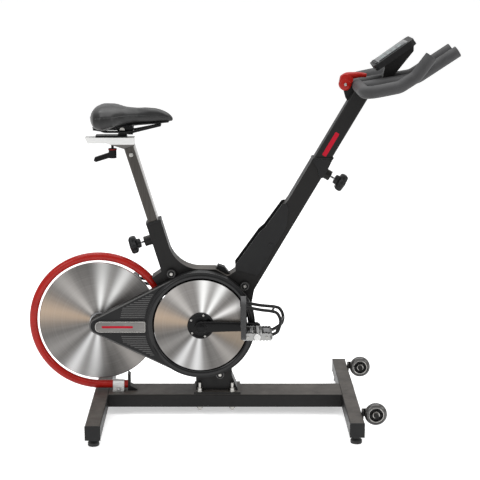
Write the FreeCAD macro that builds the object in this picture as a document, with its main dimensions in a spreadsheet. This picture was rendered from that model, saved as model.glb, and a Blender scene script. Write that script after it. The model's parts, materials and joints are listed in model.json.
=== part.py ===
import FreeCAD, Part
import math
import os
import Sketcher

# Indoor cycling bike.  X points to the front of the bike, Z up, and the drive side is at -Y.
# The floor under the levelling feet is Z = 0, and the origin is the centre of that footprint.

Vector = FreeCAD.Vector

SIZES = {
    # base
    "beam_rear": -406, "beam_front": 322, "beam_half": 54, "beam_bottom": 26, "beam_top": 68,
    "steel_wall": 3, "bar_bottom": 24, "rear_bar_depth": 46, "front_bar_depth": 44,
    "rear_bar_half": 326, "front_bar_half": 302, "cap_thickness": 4, "cap_plug": 14,
    "foot_radius": 17, "stud_radius": 4, "stud_top": 52, "rear_foot_side": 300, "front_foot_side": 280,
    "castor_x": 407, "castor_z": 67, "castor_side": 224, "castor_radius": 34, "castor_half": 12,
    # welded frame
    "frame_half": 29, "frame_wall": 4, "bracket_x": -117, "bracket_z": 296,
    "column_rear": -133, "column_front": -21,
    "foot_plate_top": 75, "foot_plate_half": 52, "bolt_rear_x": -121, "bolt_front_x": -20,
    "bolt_side": 41, "bolt_radius": 5,
    "seat_lean": 17.1, "seat_top_x": -259.5, "seat_top_z": 606, "seat_tube_half": 23,
    "seat_tube_depth": 285, "head_lean": 30, "head_top_x": 247, "head_top_z": 797.5,
    "head_tube_half": 26, "saddle_curve": 100, "post_gap": 0.3,
    # drive
    "spindle_radius": 10, "spindle_half": 95, "shell_radius": 25, "shell_half": 36, "bearing_radius": 21,
    "bearing_width": 7, "running_gap": 0.04, "big_pulley": 125, "small_pulley_radius": 14,
    "belt_inner": -44, "belt_outer": -56, "belt_gap": 0.3, "belt_thickness": 2.5,
    "wheel_x": -434, "wheel_z": 292, "wheel_radius": 186, "wheel_half": 6, "axle_radius": 8,
    "hub_radius": 20, "flange_radius": 42, "stay_inner": 29, "stay_outer": 36,
    "stay_radius": 26, "axle_bearing": 16,
    "cover_inner": -38, "cover_face": -64, "cover_rim": -70, "cover_radius": 167,
    "cover_opening": 152, "cover_hub": 25, "cover_wall": 2.5,
    "disc_radius": 143, "disc_inner": -66, "disc_outer": -70, "spider_radius": 41, "spider_face": -76,
    "crank_length": 170, "arm_face": -94, "arm_hub": 19, "arm_eye": 16.5,
    "pedal_y": 150, "pedal_half": 45, "pedal_length": 98, "pedal_height": 24, "pedal_pin": 7,
    # guard and brake
    "guard_x": -432, "guard_z": 291, "guard_radius": 206.5, "guard_tube": 12.7, "guard_end_x": -347,
    "guard_start": 30, "brake_x": -224, "brake_z": 306, "brake_pin": 5,
    # seat
    "seat_post_half": 16, "seat_post_side": 25, "seat_post_above": 243, "seat_post_below": 95,
    "pin_radius": 3, "boss_radius": 15.5, "boss_length": 24,
    "knob_radius": 29, "seat_pin_drop": 50, "head_pin_drop": 28,
    "rail_bottom": 851, "rail_top": 868, "rail_half": 20, "rail_rear": -464, "rail_front": -316,
    "clamp_x": -351, "clamp_z": 892, "lever_x": -383,
    # handlebar
    "bar_post_half": 23.5, "bar_post_side": 25, "bar_post_above": 234, "bar_post_below": 175,
    "bar_x": 354, "bar_z": 1022, "bar_half": 228, "bar_radius": 18, "prong_radius": 17, "prong_side": 58,
    "console_x": 456, "console_z": 1118, "console_tilt": 35.3, "console_length": 139,
    "console_half": 62, "console_thickness": 18, "lever_pivot_x": 316, "lever_pivot_z": 1027,
}


class Size:
    """A number together with the sheet expression that gives it."""

    def __init__(self, value, text):
        self.value = float(value)
        self.text = text

    def __add__(self, other):
        other = size_of(other)
        return Size(self.value + other.value, f"({self.text} + {other.text})")

    def __sub__(self, other):
        other = size_of(other)
        return Size(self.value - other.value, f"({self.text} - {other.text})")

    def __mul__(self, other):
        other = size_of(other)
        return Size(self.value * other.value, f"({self.text} * {other.text})")

    def __neg__(self):
        return Size(-self.value, f"(-1 * {self.text})")

    def __radd__(self, other):
        return size_of(other) + self

    def __rsub__(self, other):
        return size_of(other) - self

    def __rmul__(self, other):
        return size_of(other) * self


def size_of(number):
    """Any number as a Size."""
    if isinstance(number, Size):
        return number
    return Size(number, f"({float(number)!r})")


def sine(angle):
    return Size(math.sin(math.radians(angle.value)), f"sin({angle.text} * 1 deg)")


def cosine(angle):
    return Size(math.cos(math.radians(angle.value)), f"cos({angle.text} * 1 deg)")


class Sheet:
    """The driving dimensions, each as an attribute named after its alias."""

    def __init__(self, document, values):
        cells = document.addObject("Spreadsheet::Sheet", "Sizes")
        for row, (alias, value) in enumerate(values.items(), 1):
            cells.set(f"A{row}", alias)
            cells.set(f"B{row}", str(value))
            cells.setAlias(f"B{row}", alias)
            setattr(self, alias, Size(value, f"Sizes.{alias}"))


doc = FreeCAD.newDocument("ExerciseBike")
z = Sheet(doc, SIZES)
doc.recompute()
nodes = []

PLANE_NORMAL = {"XY_Plane": 1, "YZ_Plane": 1, "XZ_Plane": -1}


# ---------- helpers ----------

def keep(label, feature):
    """Name a finished sub-part and list it for export."""
    feature.Label = label
    nodes.append(feature)
    return feature


def place(feature, x=0, y=0, z_at=0, axis=None, angle=None, direction=None):
    """Bind a feature's place; turn it about an axis, or lay its own Z along a direction."""
    if direction is not None:
        feature.Placement.Rotation = FreeCAD.Rotation(Vector(0, 0, 1), Vector(*direction))
    if axis is not None:
        feature.Placement.Rotation = FreeCAD.Rotation(Vector(*axis), 1)
        feature.setExpression("Placement.Rotation.Angle", size_of(angle).text)
    for name, value in zip("xyz", (x, y, z_at)):
        feature.setExpression(f"Placement.Base.{name}", size_of(value).text)
    return feature


def box(x, y, z_span):
    """A block between two sizes on each axis."""
    block = doc.addObject("Part::Box", "Block")
    for name, (low, high) in zip(("Length", "Width", "Height"), (x, y, z_span)):
        block.setExpression(name, (size_of(high) - low).text)
    return place(block, x[0], y[0], z_span[0])


def rod(radius, length, start, direction):
    """A round bar from a start point along a direction."""
    bar = doc.addObject("Part::Cylinder", "Rod")
    bar.setExpression("Radius", size_of(radius).text)
    bar.setExpression("Height", size_of(length).text)
    return place(bar, *start, direction=direction)


def rod_y(radius, x, z_at, low, high):
    """A round bar across the bike, between two places on Y."""
    return rod(radius, size_of(high) - low, (x, low, z_at), (0, 1, 0))


def fuse(parts):
    joined = doc.addObject("Part::MultiFuse", "Joined")
    joined.Shapes = parts
    return joined


def cut(base, tools):
    result = doc.addObject("Part::Cut", "Cut")
    result.Base = base
    result.Tool = tools[0] if len(tools) == 1 else fuse(tools)
    return result


def group(parts):
    """Several separate solids in one sub-part."""
    bunch = doc.addObject("Part::Compound", "Group")
    bunch.Links = parts
    return bunch


def plain(shape):
    """A shape made with Part's own functions."""
    feature = doc.addObject("Part::Feature", "Shape")
    feature.Shape = shape
    return feature


def mirrored(feature):
    """The same piece on the other side of the bike."""
    twin = doc.addObject("Part::Mirroring", "Twin")
    twin.Source = feature
    twin.Normal = Vector(0, 1, 0)
    return twin


class Body:
    """A PartDesign body whose sketches lie on its own origin planes."""

    def __init__(self):
        self.body = doc.addObject("PartDesign::Body", "Body")

    def sketch(self, role, offset):
        """A sketch on a plane at a given place along that plane's world axis."""
        drawing = self.body.newObject("Sketcher::SketchObject", "Sketch")
        plane = [item for item in self.body.Origin.OriginFeatures if item.Role == role][0]
        drawing.AttachmentSupport = (plane, [""])
        drawing.MapMode = "FlatFace"
        along = size_of(offset) * PLANE_NORMAL[role]
        drawing.setExpression("AttachmentOffset.Base.z", along.text)
        return drawing

    def pad(self, role, low, high, outlines):
        """Extrude closed outlines between two places on the plane's axis."""
        start = low if PLANE_NORMAL[role] > 0 else high
        drawing = self.sketch(role, start)
        for outline in outlines:
            outline(drawing)
        block = self.body.newObject("PartDesign::Pad", "Pad")
        block.Profile = drawing
        block.setExpression("Length", (size_of(high) - low).text)
        return self

    def pocket(self, role, low, high, outlines):
        """Cut closed outlines away between two places on the plane's axis."""
        doc.recompute()
        before = self.body.Shape.Volume
        start = high if PLANE_NORMAL[role] > 0 else low
        drawing = self.sketch(role, start)
        for outline in outlines:
            outline(drawing)
        hollow = self.body.newObject("PartDesign::Pocket", "Pocket")
        hollow.Profile = drawing
        hollow.setExpression("Length", (size_of(high) - low).text)
        doc.recompute()
        if self.body.Shape.Volume >= before:
            raise ValueError("a pocket removes nothing")
        return self

    def turn(self, profile):
        """Revolve a (radius, height) outline about the body's own Z axis."""
        drawing = self.sketch("XZ_Plane", 0)
        polygon(profile)(drawing)
        turned = self.body.newObject("PartDesign::Revolution", "Revolution")
        turned.Profile = drawing
        turned.ReferenceAxis = (drawing, ["V_Axis"])
        turned.Angle = 360
        return self

    def round_corners(self, role, corners, radius):
        """Fillet the edges that stand on the given corners of the outline."""
        doc.recompute()
        tip = self.body.Tip
        first, second = {"XY_Plane": ("x", "y"), "XZ_Plane": ("x", "z"), "YZ_Plane": ("y", "z")}[role]
        names = []
        for number, edge in enumerate(tip.Shape.Edges, 1):
            ends = [(getattr(v.Point, first), getattr(v.Point, second)) for v in edge.Vertexes]
            for corner in corners:
                spot = (size_of(corner[0]).value, size_of(corner[1]).value)
                if len(ends) == 2 and all(math.dist(end, spot) < 0.01 for end in ends):
                    names.append(f"Edge{number}")
        if not names:
            raise ValueError("no corner edge found")
        fillet = self.body.newObject("PartDesign::Fillet", "Fillet")
        fillet.Base = (tip, names)
        fillet.setExpression("Radius", size_of(radius).text)
        return self


def pin_point(drawing, geometry, corner, place_at):
    """Fix a sketch point at bound coordinates."""
    for kind, value in zip(("DistanceX", "DistanceY"), place_at):
        value = size_of(value)
        number = drawing.addConstraint(Sketcher.Constraint(kind, -1, 1, geometry, corner, value.value))
        drawing.setExpression(f"Constraints[{number}]", value.text)


def polygon(points):
    """A closed outline of straight sides through bound points."""
    def draw(drawing):
        first = drawing.GeometryCount
        ends = [Vector(size_of(p[0]).value, size_of(p[1]).value, 0) for p in points]
        for start, end in zip(ends, ends[1:] + ends[:1]):
            drawing.addGeometry(Part.LineSegment(start, end), False)
        for index in range(len(points)):
            following = (index + 1) % len(points)
            drawing.addConstraint(Sketcher.Constraint("Coincident", first + index, 2, first + following, 1))
        for index, point in enumerate(points):
            pin_point(drawing, first + index, 1, point)
    return draw


def rectangle(x, y):
    return polygon([(x[0], y[0]), (x[1], y[0]), (x[1], y[1]), (x[0], y[1])])


def circle(x, y, radius):
    """A circle with a bound centre and radius."""
    def draw(drawing):
        number = drawing.GeometryCount
        centre = Vector(size_of(x).value, size_of(y).value, 0)
        drawing.addGeometry(Part.Circle(centre, Vector(0, 0, 1), size_of(radius).value), False)
        pin_point(drawing, number, 3, (x, y))
        bound = drawing.addConstraint(Sketcher.Constraint("Radius", number, size_of(radius).value))
        drawing.setExpression(f"Constraints[{bound}]", size_of(radius).text)
    return draw


def belt_outline(centre_1, radius_1, centre_2, radius_2):
    """Two arcs joined by their outer tangents; centre 1 lies to the right of centre 2."""
    def draw(drawing):
        first = drawing.GeometryCount
        spots = [Vector(size_of(c[0]).value, size_of(c[1]).value, 0) for c in (centre_1, centre_2)]
        radii = [size_of(radius_1), size_of(radius_2)]
        span = spots[0] - spots[1]
        heading = math.atan2(span.y, span.x)
        lean = math.acos((radii[0].value - radii[1].value) / span.Length)
        turns = ((heading - lean, heading + lean), (heading + lean, heading - lean + 2 * math.pi))
        for spot, radius, (start, end) in zip(spots, radii, turns):
            arc = Part.ArcOfCircle(Part.Circle(spot, Vector(0, 0, 1), radius.value), start, end)
            drawing.addGeometry(arc, False)
        ends = [spot + Vector(math.cos(turn), math.sin(turn), 0) * radius.value
                for spot, radius in zip(spots, radii) for turn in (heading + lean, heading - lean)]
        drawing.addGeometry(Part.LineSegment(ends[0], ends[2]), False)
        drawing.addGeometry(Part.LineSegment(ends[3], ends[1]), False)
        big, small, upper, lower = range(first, first + 4)
        for joint in ((big, 2, upper, 1), (upper, 2, small, 1), (small, 2, lower, 1), (lower, 2, big, 1)):
            drawing.addConstraint(Sketcher.Constraint("Tangent", *joint))
        for number, centre, radius in ((big, centre_1, radii[0]), (small, centre_2, radii[1])):
            pin_point(drawing, number, 3, centre)
            bound = drawing.addConstraint(Sketcher.Constraint("Radius", number, radius.value))
            drawing.setExpression(f"Constraints[{bound}]", radius.text)
    return draw


def slanted(origin, lean, along, across):
    """The point at a distance along and across a leaning tube, from its top centre."""
    x = origin[0] + along * sine(lean) + across * cosine(lean)
    height = origin[1] + along * cosine(lean) - across * sine(lean)
    return (x, height)


def slanted_box(origin, lean, along, across):
    """The four corners of a box section that follows a leaning tube."""
    return [slanted(origin, lean, size_of(a), size_of(c)) for a, c in (
        (along[0], across[0]), (along[1], across[0]), (along[1], across[1]), (along[0], across[1]))]


def bent_tube(points, radius, bend, inner=0):
    """A tube through points, its corners rounded by tangent arcs."""
    edges = []
    start = Vector(*points[0])
    for index in range(1, len(points) - 1):
        corner = Vector(*points[index])
        arriving = (corner - Vector(*points[index - 1])).normalize()
        leaving = (Vector(*points[index + 1]) - corner).normalize()
        turn = arriving.getAngle(leaving)
        reach = bend[index - 1] * math.tan(turn / 2)
        into = corner - arriving * reach
        out = corner + leaving * reach
        inward = (leaving - arriving).normalize()
        middle = corner + inward * (bend[index - 1] / math.cos(turn / 2) - bend[index - 1])
        edges.append(Part.LineSegment(start, into).toShape())
        edges.append(Part.Arc(into, middle, out).toShape())
        start = out
    edges.append(Part.LineSegment(start, Vector(*points[-1])).toShape())
    path = Part.Wire(edges)
    heading = Vector(*points[1]) - Vector(*points[0])

    def sweep(size):
        ring = Part.Wire(Part.Circle(Vector(*points[0]), heading, size).toShape())
        return path.makePipeShell([ring], True, False)

    return sweep(radius).cut(sweep(inner)) if inner else sweep(radius)


# ---------- base ----------

def box_tube_x(low, high, half, bottom, top):
    wall = z.steel_wall
    outer = rectangle((-half, half), (bottom, top))
    inner = rectangle((-half + wall, half - wall), (bottom + wall, top - wall))
    tube = Body().pad("YZ_Plane", low, high, [outer, inner])
    corners = [(side, level) for side in (-half, half) for level in (bottom, top)]
    return tube.round_corners("YZ_Plane", corners, 4)


def crossbar(rear, front, half, foot_side):
    bottom = z.bar_bottom
    top = z.beam_top
    wall = z.steel_wall
    outer = rectangle((rear, front), (bottom, top))
    inner = rectangle((rear + wall, front - wall), (bottom + wall, top - wall))
    tube = Body().pad("XZ_Plane", -half, half, [outer, inner])
    tube.round_corners("XZ_Plane", [(x, level) for x in (rear, front) for level in (bottom, top)], 4)
    middle = (rear + front) * 0.5
    holes = [circle(middle, side, z.stud_radius + z.running_gap) for side in (-foot_side, foot_side)]
    return tube.pocket("XY_Plane", bottom - 1, bottom + z.steel_wall + 1, holes)


rear_bar_rear = z.beam_rear - z.rear_bar_depth
front_bar_front = z.beam_front + z.front_bar_depth
rear_foot_x = z.beam_rear - z.rear_bar_depth * 0.5
front_foot_x = z.beam_front + z.front_bar_depth * 0.5

beam = box_tube_x(z.beam_rear, z.beam_front, z.beam_half, z.beam_bottom, z.beam_top)
beam_bolt_holes = [circle(x, side, z.bolt_radius) for x in (z.bolt_rear_x, z.bolt_front_x)
                   for side in (-z.bolt_side, z.bolt_side)]
beam.pocket("XY_Plane", z.beam_bottom - 1, z.beam_top + 1, beam_bolt_holes)
keep("base_beam", beam.body)
keep("rear_crossbar", crossbar(rear_bar_rear, z.beam_rear, z.rear_bar_half, z.rear_foot_side).body)
keep("front_crossbar", crossbar(z.beam_front, front_bar_front, z.front_bar_half, z.front_foot_side).body)


def end_cap(rear, front, half):
    plate = box((rear, front), (half, half + z.cap_thickness), (z.bar_bottom, z.beam_top))
    inset = z.steel_wall + 0.2
    plug = box((rear + inset, front - inset), (half - z.cap_plug, half),
               (z.bar_bottom + inset, z.beam_top - inset))
    return fuse([plate, plug])


caps = [end_cap(rear_bar_rear, z.beam_rear, z.rear_bar_half),
        end_cap(z.beam_front, front_bar_front, z.front_bar_half)]
keep("crossbar_end_caps", group(caps + [mirrored(cap) for cap in caps]))

foot_profile = [(0, 0), (z.foot_radius, 0), (z.foot_radius, 9), (11, 15), (11, z.bar_bottom - 0.3),
                (z.stud_radius, z.bar_bottom - 0.3), (z.stud_radius, z.stud_top), (0, z.stud_top)]
for end, foot_x, foot_side in (("rear", rear_foot_x, z.rear_foot_side),
                               ("front", front_foot_x, z.front_foot_side)):
    for side, sign in (("right", -1), ("left", 1)):
        foot = Body().turn(foot_profile).body
        keep(f"levelling_foot_{end}_{side}", place(foot, foot_x, foot_side * sign, 0))

castor_profile = [(z.stud_radius + z.running_gap, -z.castor_half), (z.castor_radius - 5, -z.castor_half),
                  (z.castor_radius - 1, -z.castor_half + 3), (z.castor_radius, -z.castor_half + 7),
                  (z.castor_radius, z.castor_half - 7), (z.castor_radius - 1, z.castor_half - 3),
                  (z.castor_radius - 5, z.castor_half), (z.stud_radius + z.running_gap, z.castor_half)]
arm_inner = z.castor_half + 1.5
arm_outer = arm_inner + 4
arm_tip = z.castor_x + 11
arm_plate = front_bar_front + 4
transport_arms = []
for side, sign in (("right", -1), ("left", 1)):
    centre = z.castor_side * sign
    wheel = Body().turn(castor_profile).body
    keep(f"transport_wheel_{side}", place(wheel, z.castor_x, centre, z.castor_z, axis=(1, 0, 0), angle=-90))
    angle_plate = polygon([(front_bar_front, centre - 9), (arm_plate, centre - 9),
                           (arm_plate, centre + arm_inner), (arm_tip, centre + arm_inner),
                           (arm_tip, centre + arm_outer), (front_bar_front, centre + arm_outer)])
    arm = Body().pad("XY_Plane", z.castor_z - 12, z.castor_z + 12, [angle_plate])
    arm.round_corners("XZ_Plane", [(arm_tip, z.castor_z - 12), (arm_tip, z.castor_z + 12)], 10)
    near_face = centre - z.castor_half - 1
    axle = rod_y(z.stud_radius, z.castor_x, z.castor_z, near_face, centre + arm_outer)
    heads = [rod_y(8, z.castor_x, z.castor_z, centre + arm_outer, centre + arm_outer + 5),
             rod_y(8, z.castor_x, z.castor_z, near_face - 5, near_face)]
    transport_arms.append(fuse([arm.body, axle] + heads))
keep("transport_brackets", group(transport_arms))


# ---------- welded frame ----------

bracket = (z.bracket_x, z.bracket_z)
wheel_centre = (z.wheel_x, z.wheel_z)
seat_top = (z.seat_top_x, z.seat_top_z)
seat_back = -z.seat_lean
head_top = (z.head_top_x, z.head_top_z)


def on_seat(along, across):
    """A point on the seat tube: up from its top, and forward of its centre line."""
    return slanted(seat_top, seat_back, size_of(along), size_of(across))


def on_head(along, across):
    """A point on the head tube: up from its top, and forward of its centre line."""
    return slanted(head_top, z.head_lean, size_of(along), size_of(across))


half_seat = z.seat_tube_half
half_head = z.head_tube_half
crotch = (on_seat(-155.6, half_seat)[0], size_of(464))
frame_outline = [
    (z.column_rear, z.foot_plate_top), (z.column_rear, 236),
    on_seat(-z.seat_tube_depth, -half_seat), on_seat(0, -half_seat), on_seat(0, half_seat), crotch,
    (-71, 463), (-34, 441), (-12, 456), on_head(-150, -half_head), on_head(-9.8, -half_head),
    on_head(20.2, half_head), (47, 398), (41, 362), (z.column_front, 155), (z.column_front, 122),
    (-2, z.foot_plate_top)]
frame = Body().pad("XZ_Plane", -z.frame_half, z.frame_half, [polygon(frame_outline)])
frame.round_corners("XZ_Plane", [crotch], z.saddle_curve)
frame.round_corners("XZ_Plane", [(-71, 463), (-34, 441), (-12, 456)], 12)
frame.round_corners("XZ_Plane", [(47, 398), (41, 362), (z.column_front, 155)], 20)
frame.pad("XY_Plane", z.beam_top, z.foot_plate_top,
          [rectangle((z.column_rear - 6, 6), (-z.foot_plate_half, z.foot_plate_half))])
frame.pocket("XY_Plane", z.beam_top - 1, z.foot_plate_top + 1, beam_bolt_holes)
# The welded box is hollow: the cavity opens at its foot, goes round the crank bearings and ends
# under both bores.
cavity = [(-128, z.beam_top - 1), (-26, z.beam_top - 1), (-26, 157), (36, 362), on_head(-436, 22),
          on_head(-336, 22), on_head(-336, -22), (0, 455), (-38, 434), (-75, 455), on_seat(-165, 18),
          on_seat(-276, 18), (-150, 335), (-110, 330), (-84, 310), (-86, 280), (-117, 264), (-135, 255),
          (-128, 236)]
cavity_half = z.frame_half - z.frame_wall
frame.pocket("XZ_Plane", -cavity_half, cavity_half, [polygon(cavity)])
frame.pad("XZ_Plane", -z.shell_half, z.shell_half, [circle(*bracket, z.shell_radius)])
frame.pocket("XZ_Plane", -z.shell_half - 1, z.shell_half + 1, [circle(*bracket, z.bearing_radius)])
seat_bore = slanted_box(seat_top, seat_back, (-270, 2),
                        (-z.seat_post_half - z.post_gap, z.seat_post_half + z.post_gap))
frame.pocket("XZ_Plane", -z.seat_post_side - z.post_gap, z.seat_post_side + z.post_gap, [polygon(seat_bore)])
head_bore = slanted_box(head_top, z.head_lean, (-330, 45),
                        (-z.bar_post_half - z.post_gap, z.bar_post_half + z.post_gap))
frame.pocket("XZ_Plane", -z.bar_post_side - z.post_gap, z.bar_post_side + z.post_gap, [polygon(head_bore)])

seat_out = (-math.cos(math.radians(z.seat_lean.value)), 0, -math.sin(math.radians(z.seat_lean.value)))
head_out = (math.cos(math.radians(z.head_lean.value)), 0, -math.sin(math.radians(z.head_lean.value)))


def seat_pin_at(distance):
    """A point on the seat pin's axis, rearward of the tube's centre line."""
    x, height = on_seat(-z.seat_pin_drop, -size_of(distance))
    return (x, 0, height)


def head_pin_at(distance):
    """A point on the handlebar pin's axis, forward of the tube's centre line."""
    x, height = on_head(-z.head_pin_drop, distance)
    return (x, 0, height)


pin_bore = z.pin_radius + z.running_gap
seat_boss = rod(z.boss_radius, z.boss_length, seat_pin_at(z.seat_tube_half), seat_out)
head_boss = rod(z.boss_radius, z.boss_length, head_pin_at(z.head_tube_half), head_out)
seat_pin_hole = rod(pin_bore, z.seat_tube_half + z.boss_length, seat_pin_at(5), seat_out)
head_pin_hole = rod(pin_bore, z.head_tube_half + z.boss_length, head_pin_at(5), head_out)
main_frame = keep("main_frame", cut(fuse([frame.body, seat_boss, head_boss]), [seat_pin_hole, head_pin_hole]))


def frame_bolt(x, side):
    shank = rod(z.bolt_radius, z.foot_plate_top + 28 - 14, (x, side, 14), (0, 0, 1))
    washer = rod(10.5, 2.5, (x, side, z.foot_plate_top), (0, 0, 1))
    nut = doc.addObject("Part::Prism", "Nut")
    nut.Polygon = 6
    nut.Circumradius = 9.2
    nut.Height = 9
    place(nut, x, side, z.foot_plate_top + 2.5)
    head = rod(9, 6, (x, side, z.beam_bottom - 6), (0, 0, 1))
    return fuse([shank, washer, nut, head])


keep("frame_bolts", group([frame_bolt(x, side) for x in (z.bolt_rear_x, z.bolt_front_x)
                           for side in (-z.bolt_side, z.bolt_side)]))


def stay(low, high):
    """A side plate that carries one end of the flywheel axle."""
    outline = belt_outline((z.bracket_x - 58, z.bracket_z), 30, wheel_centre, z.stay_radius)
    plate = Body().pad("XZ_Plane", low, high, [outline])
    return plate.pocket("XZ_Plane", low - 1, high + 1, [circle(*wheel_centre, z.axle_bearing)]).body


brake_pivot = rod_y(z.brake_pin, z.brake_x, z.brake_z, -z.stay_inner, z.stay_inner)
stays = [stay(-z.stay_outer, -z.stay_inner), stay(z.stay_inner, z.stay_outer)]
keep("flywheel_stays", fuse(stays + [brake_pivot]))


def ring(x, z_at, outer, inner, low, high):
    """A plain ring about an axis across the bike."""
    return Body().pad("XZ_Plane", low, high, [circle(x, z_at, outer), circle(x, z_at, inner)]).body


crank_bearing = ring(*bracket, z.bearing_radius, z.spindle_radius + z.running_gap,
                     z.shell_half - z.bearing_width - 4, z.shell_half - 4)
axle_bearing = ring(*wheel_centre, z.axle_bearing, z.axle_radius + z.running_gap, z.stay_inner, z.stay_outer)
keep("bearings", group([crank_bearing, mirrored(crank_bearing), axle_bearing, mirrored(axle_bearing)]))

# ---------- flywheel ----------

keep("flywheel", ring(*wheel_centre, z.wheel_radius, z.hub_radius, -z.wheel_half, z.wheel_half))
axle_profile = [(0, -60), (z.axle_radius, -60), (z.axle_radius, -24), (z.hub_radius, -24), (z.hub_radius, 6),
                (z.flange_radius, 6), (z.flange_radius, 13), (z.hub_radius, 13), (z.hub_radius, 24),
                (z.axle_radius, 24), (z.axle_radius, 44), (0, 44)]
axle = Body().turn(axle_profile).body
place(axle, z.wheel_x, 0, z.wheel_z, axis=(1, 0, 0), angle=-90)
small_pulley = rod_y(z.small_pulley_radius, *wheel_centre, z.belt_outer - 2, z.belt_inner + 2)
keep("flywheel_axle", fuse([axle, small_pulley]))

# ---------- crank ----------

keep("crank_spindle", rod_y(z.spindle_radius, *bracket, -z.spindle_half, z.spindle_half))
pulley = Body().pad("XZ_Plane", z.belt_outer, z.belt_inner,
                    [circle(*bracket, z.big_pulley), circle(*bracket, z.spindle_radius)])
windows = []
for step in range(6):
    turn = math.radians(60 * step + 30)
    windows.append(circle(z.bracket_x + 78 * math.cos(turn), z.bracket_z + 78 * math.sin(turn), 27))
pulley.pocket("XZ_Plane", z.belt_outer - 1, z.belt_inner + 1, windows)
keep("drive_pulley", pulley.body)
keep("crank_disc", ring(*bracket, z.disc_radius, z.spindle_radius, z.disc_outer, z.disc_inner))

spider = Body().pad("XZ_Plane", z.spider_face, z.disc_outer,
                    [circle(*bracket, z.spider_radius), circle(*bracket, z.spindle_radius)])
bolt_spots = []
for step in range(5):
    turn = math.radians(72 * step)
    bolt_spots.append((z.bracket_x + 35 * math.cos(turn), z.bracket_z + 35 * math.sin(turn)))
spider.pocket("XZ_Plane", z.spider_face + 2, z.disc_outer + 1, [circle(*bracket, 24)])
keep("crank_spider", spider.body)
bolts = []
for x, height in bolt_spots[1:]:
    bolts.append(rod_y(4.5, x, height, z.spider_face - 3, z.spider_face))
keep("spider_bolts", group(bolts))


def crank_arm(sign):
    """A tapered arm from the spindle to the pedal pin, on one side."""
    eye = (z.bracket_x - sign * z.crank_length, z.bracket_z)
    low, high = (z.arm_face, z.spider_face) if sign < 0 else (-z.spider_face, -z.arm_face)
    if sign < 0:
        outline = belt_outline(eye, z.arm_eye, bracket, z.arm_hub)
    else:
        outline = belt_outline(bracket, z.arm_hub, eye, z.arm_eye)
    arm = Body().pad("XZ_Plane", low, high, [outline])
    arm.pocket("XZ_Plane", low - 1, high + 1, [circle(*bracket, z.spindle_radius), circle(*eye, z.pedal_pin)])
    return arm.body


keep("crank_arm_right", crank_arm(-1))
keep("crank_arm_left", crank_arm(1))


# ---------- pedals ----------

def pedal_pin(sign):
    x = z.bracket_x - sign * z.crank_length
    outer = z.pedal_y + z.pedal_half - 4
    inner = -z.spider_face
    low, high = (-outer, -inner) if sign < 0 else (inner, outer)
    return rod_y(z.pedal_pin, x, z.bracket_z, low, high)


keep("pedal_pins", group([pedal_pin(-1), pedal_pin(1)]))

pedal_inner = z.pedal_y - z.pedal_half
pedal_outer = z.pedal_y + z.pedal_half
# The toe cage seen from the side, forward of the pedal's front edge and up from its middle.
cage_shape = [(0, -4), (12, 4), (24, 18), (35, 36), (26, 67), (9, 85), (-39, 100), (-84, 105), (-99, 106),
              (-99, 102), (-85, 101), (-41, 95.5), (5, 81), (21, 64), (30, 37), (18, 22), (8, 10), (0, 3)]
for side, sign in (("right", -1), ("left", 1)):
    pin_x = z.bracket_x - sign * z.crank_length
    low, high = (-pedal_outer, -pedal_inner) if sign < 0 else (pedal_inner, pedal_outer)
    rear = pin_x - z.pedal_length * 0.5
    front = pin_x + z.pedal_length * 0.5
    bottom = z.bracket_z - z.pedal_height * 0.5
    top = z.bracket_z + z.pedal_height * 0.5
    pedal = Body().pad("XY_Plane", bottom, top, [rectangle((rear, front), (low, high))])
    pedal.round_corners("XY_Plane", [(x, y) for x in (rear, front) for y in (low, high)], 12)
    pedal.pocket("XY_Plane", bottom - 1, top + 1, [rectangle((rear + 10, pin_x - 15), (low + 12, high - 12)),
                                                  rectangle((pin_x + 15, front - 10), (low + 12, high - 12))])
    pedal.pocket("XZ_Plane", low - 1, high + 1, [circle(pin_x, z.bracket_z, z.pedal_pin + z.running_gap)])
    keep(f"pedal_{side}", pedal.body)
    cage = []
    for forward, up in cage_shape:
        cage.append((front + forward, z.bracket_z + up))
    keep(f"toe_cage_{side}", Body().pad("XZ_Plane", low + 15, high - 15, [polygon(cage)]).body)
    band = [(low - 2, z.bracket_z - 8), (low - 2, z.bracket_z + 96), (low + 10, z.bracket_z + 109),
            (high - 10, z.bracket_z + 109), (high + 2, z.bracket_z + 96), (high + 2, z.bracket_z - 8),
            (high, z.bracket_z - 8), (high, z.bracket_z + 95), (high - 11, z.bracket_z + 107),
            (low + 11, z.bracket_z + 107), (low, z.bracket_z + 95), (low, z.bracket_z - 8)]
    keep(f"toe_strap_{side}", Body().pad("YZ_Plane", pin_x - 50, pin_x - 32, [polygon(band)]).body)

# ---------- belt and cover ----------

belt_in = z.belt_gap
belt_out = z.belt_gap + z.belt_thickness
belt = Body().pad("XZ_Plane", z.belt_outer, z.belt_inner, [
    belt_outline(bracket, z.big_pulley + belt_out, wheel_centre, z.small_pulley_radius + belt_out),
    belt_outline(bracket, z.big_pulley + belt_in, wheel_centre, z.small_pulley_radius + belt_in)])
keep("drive_belt", belt.body)

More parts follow.
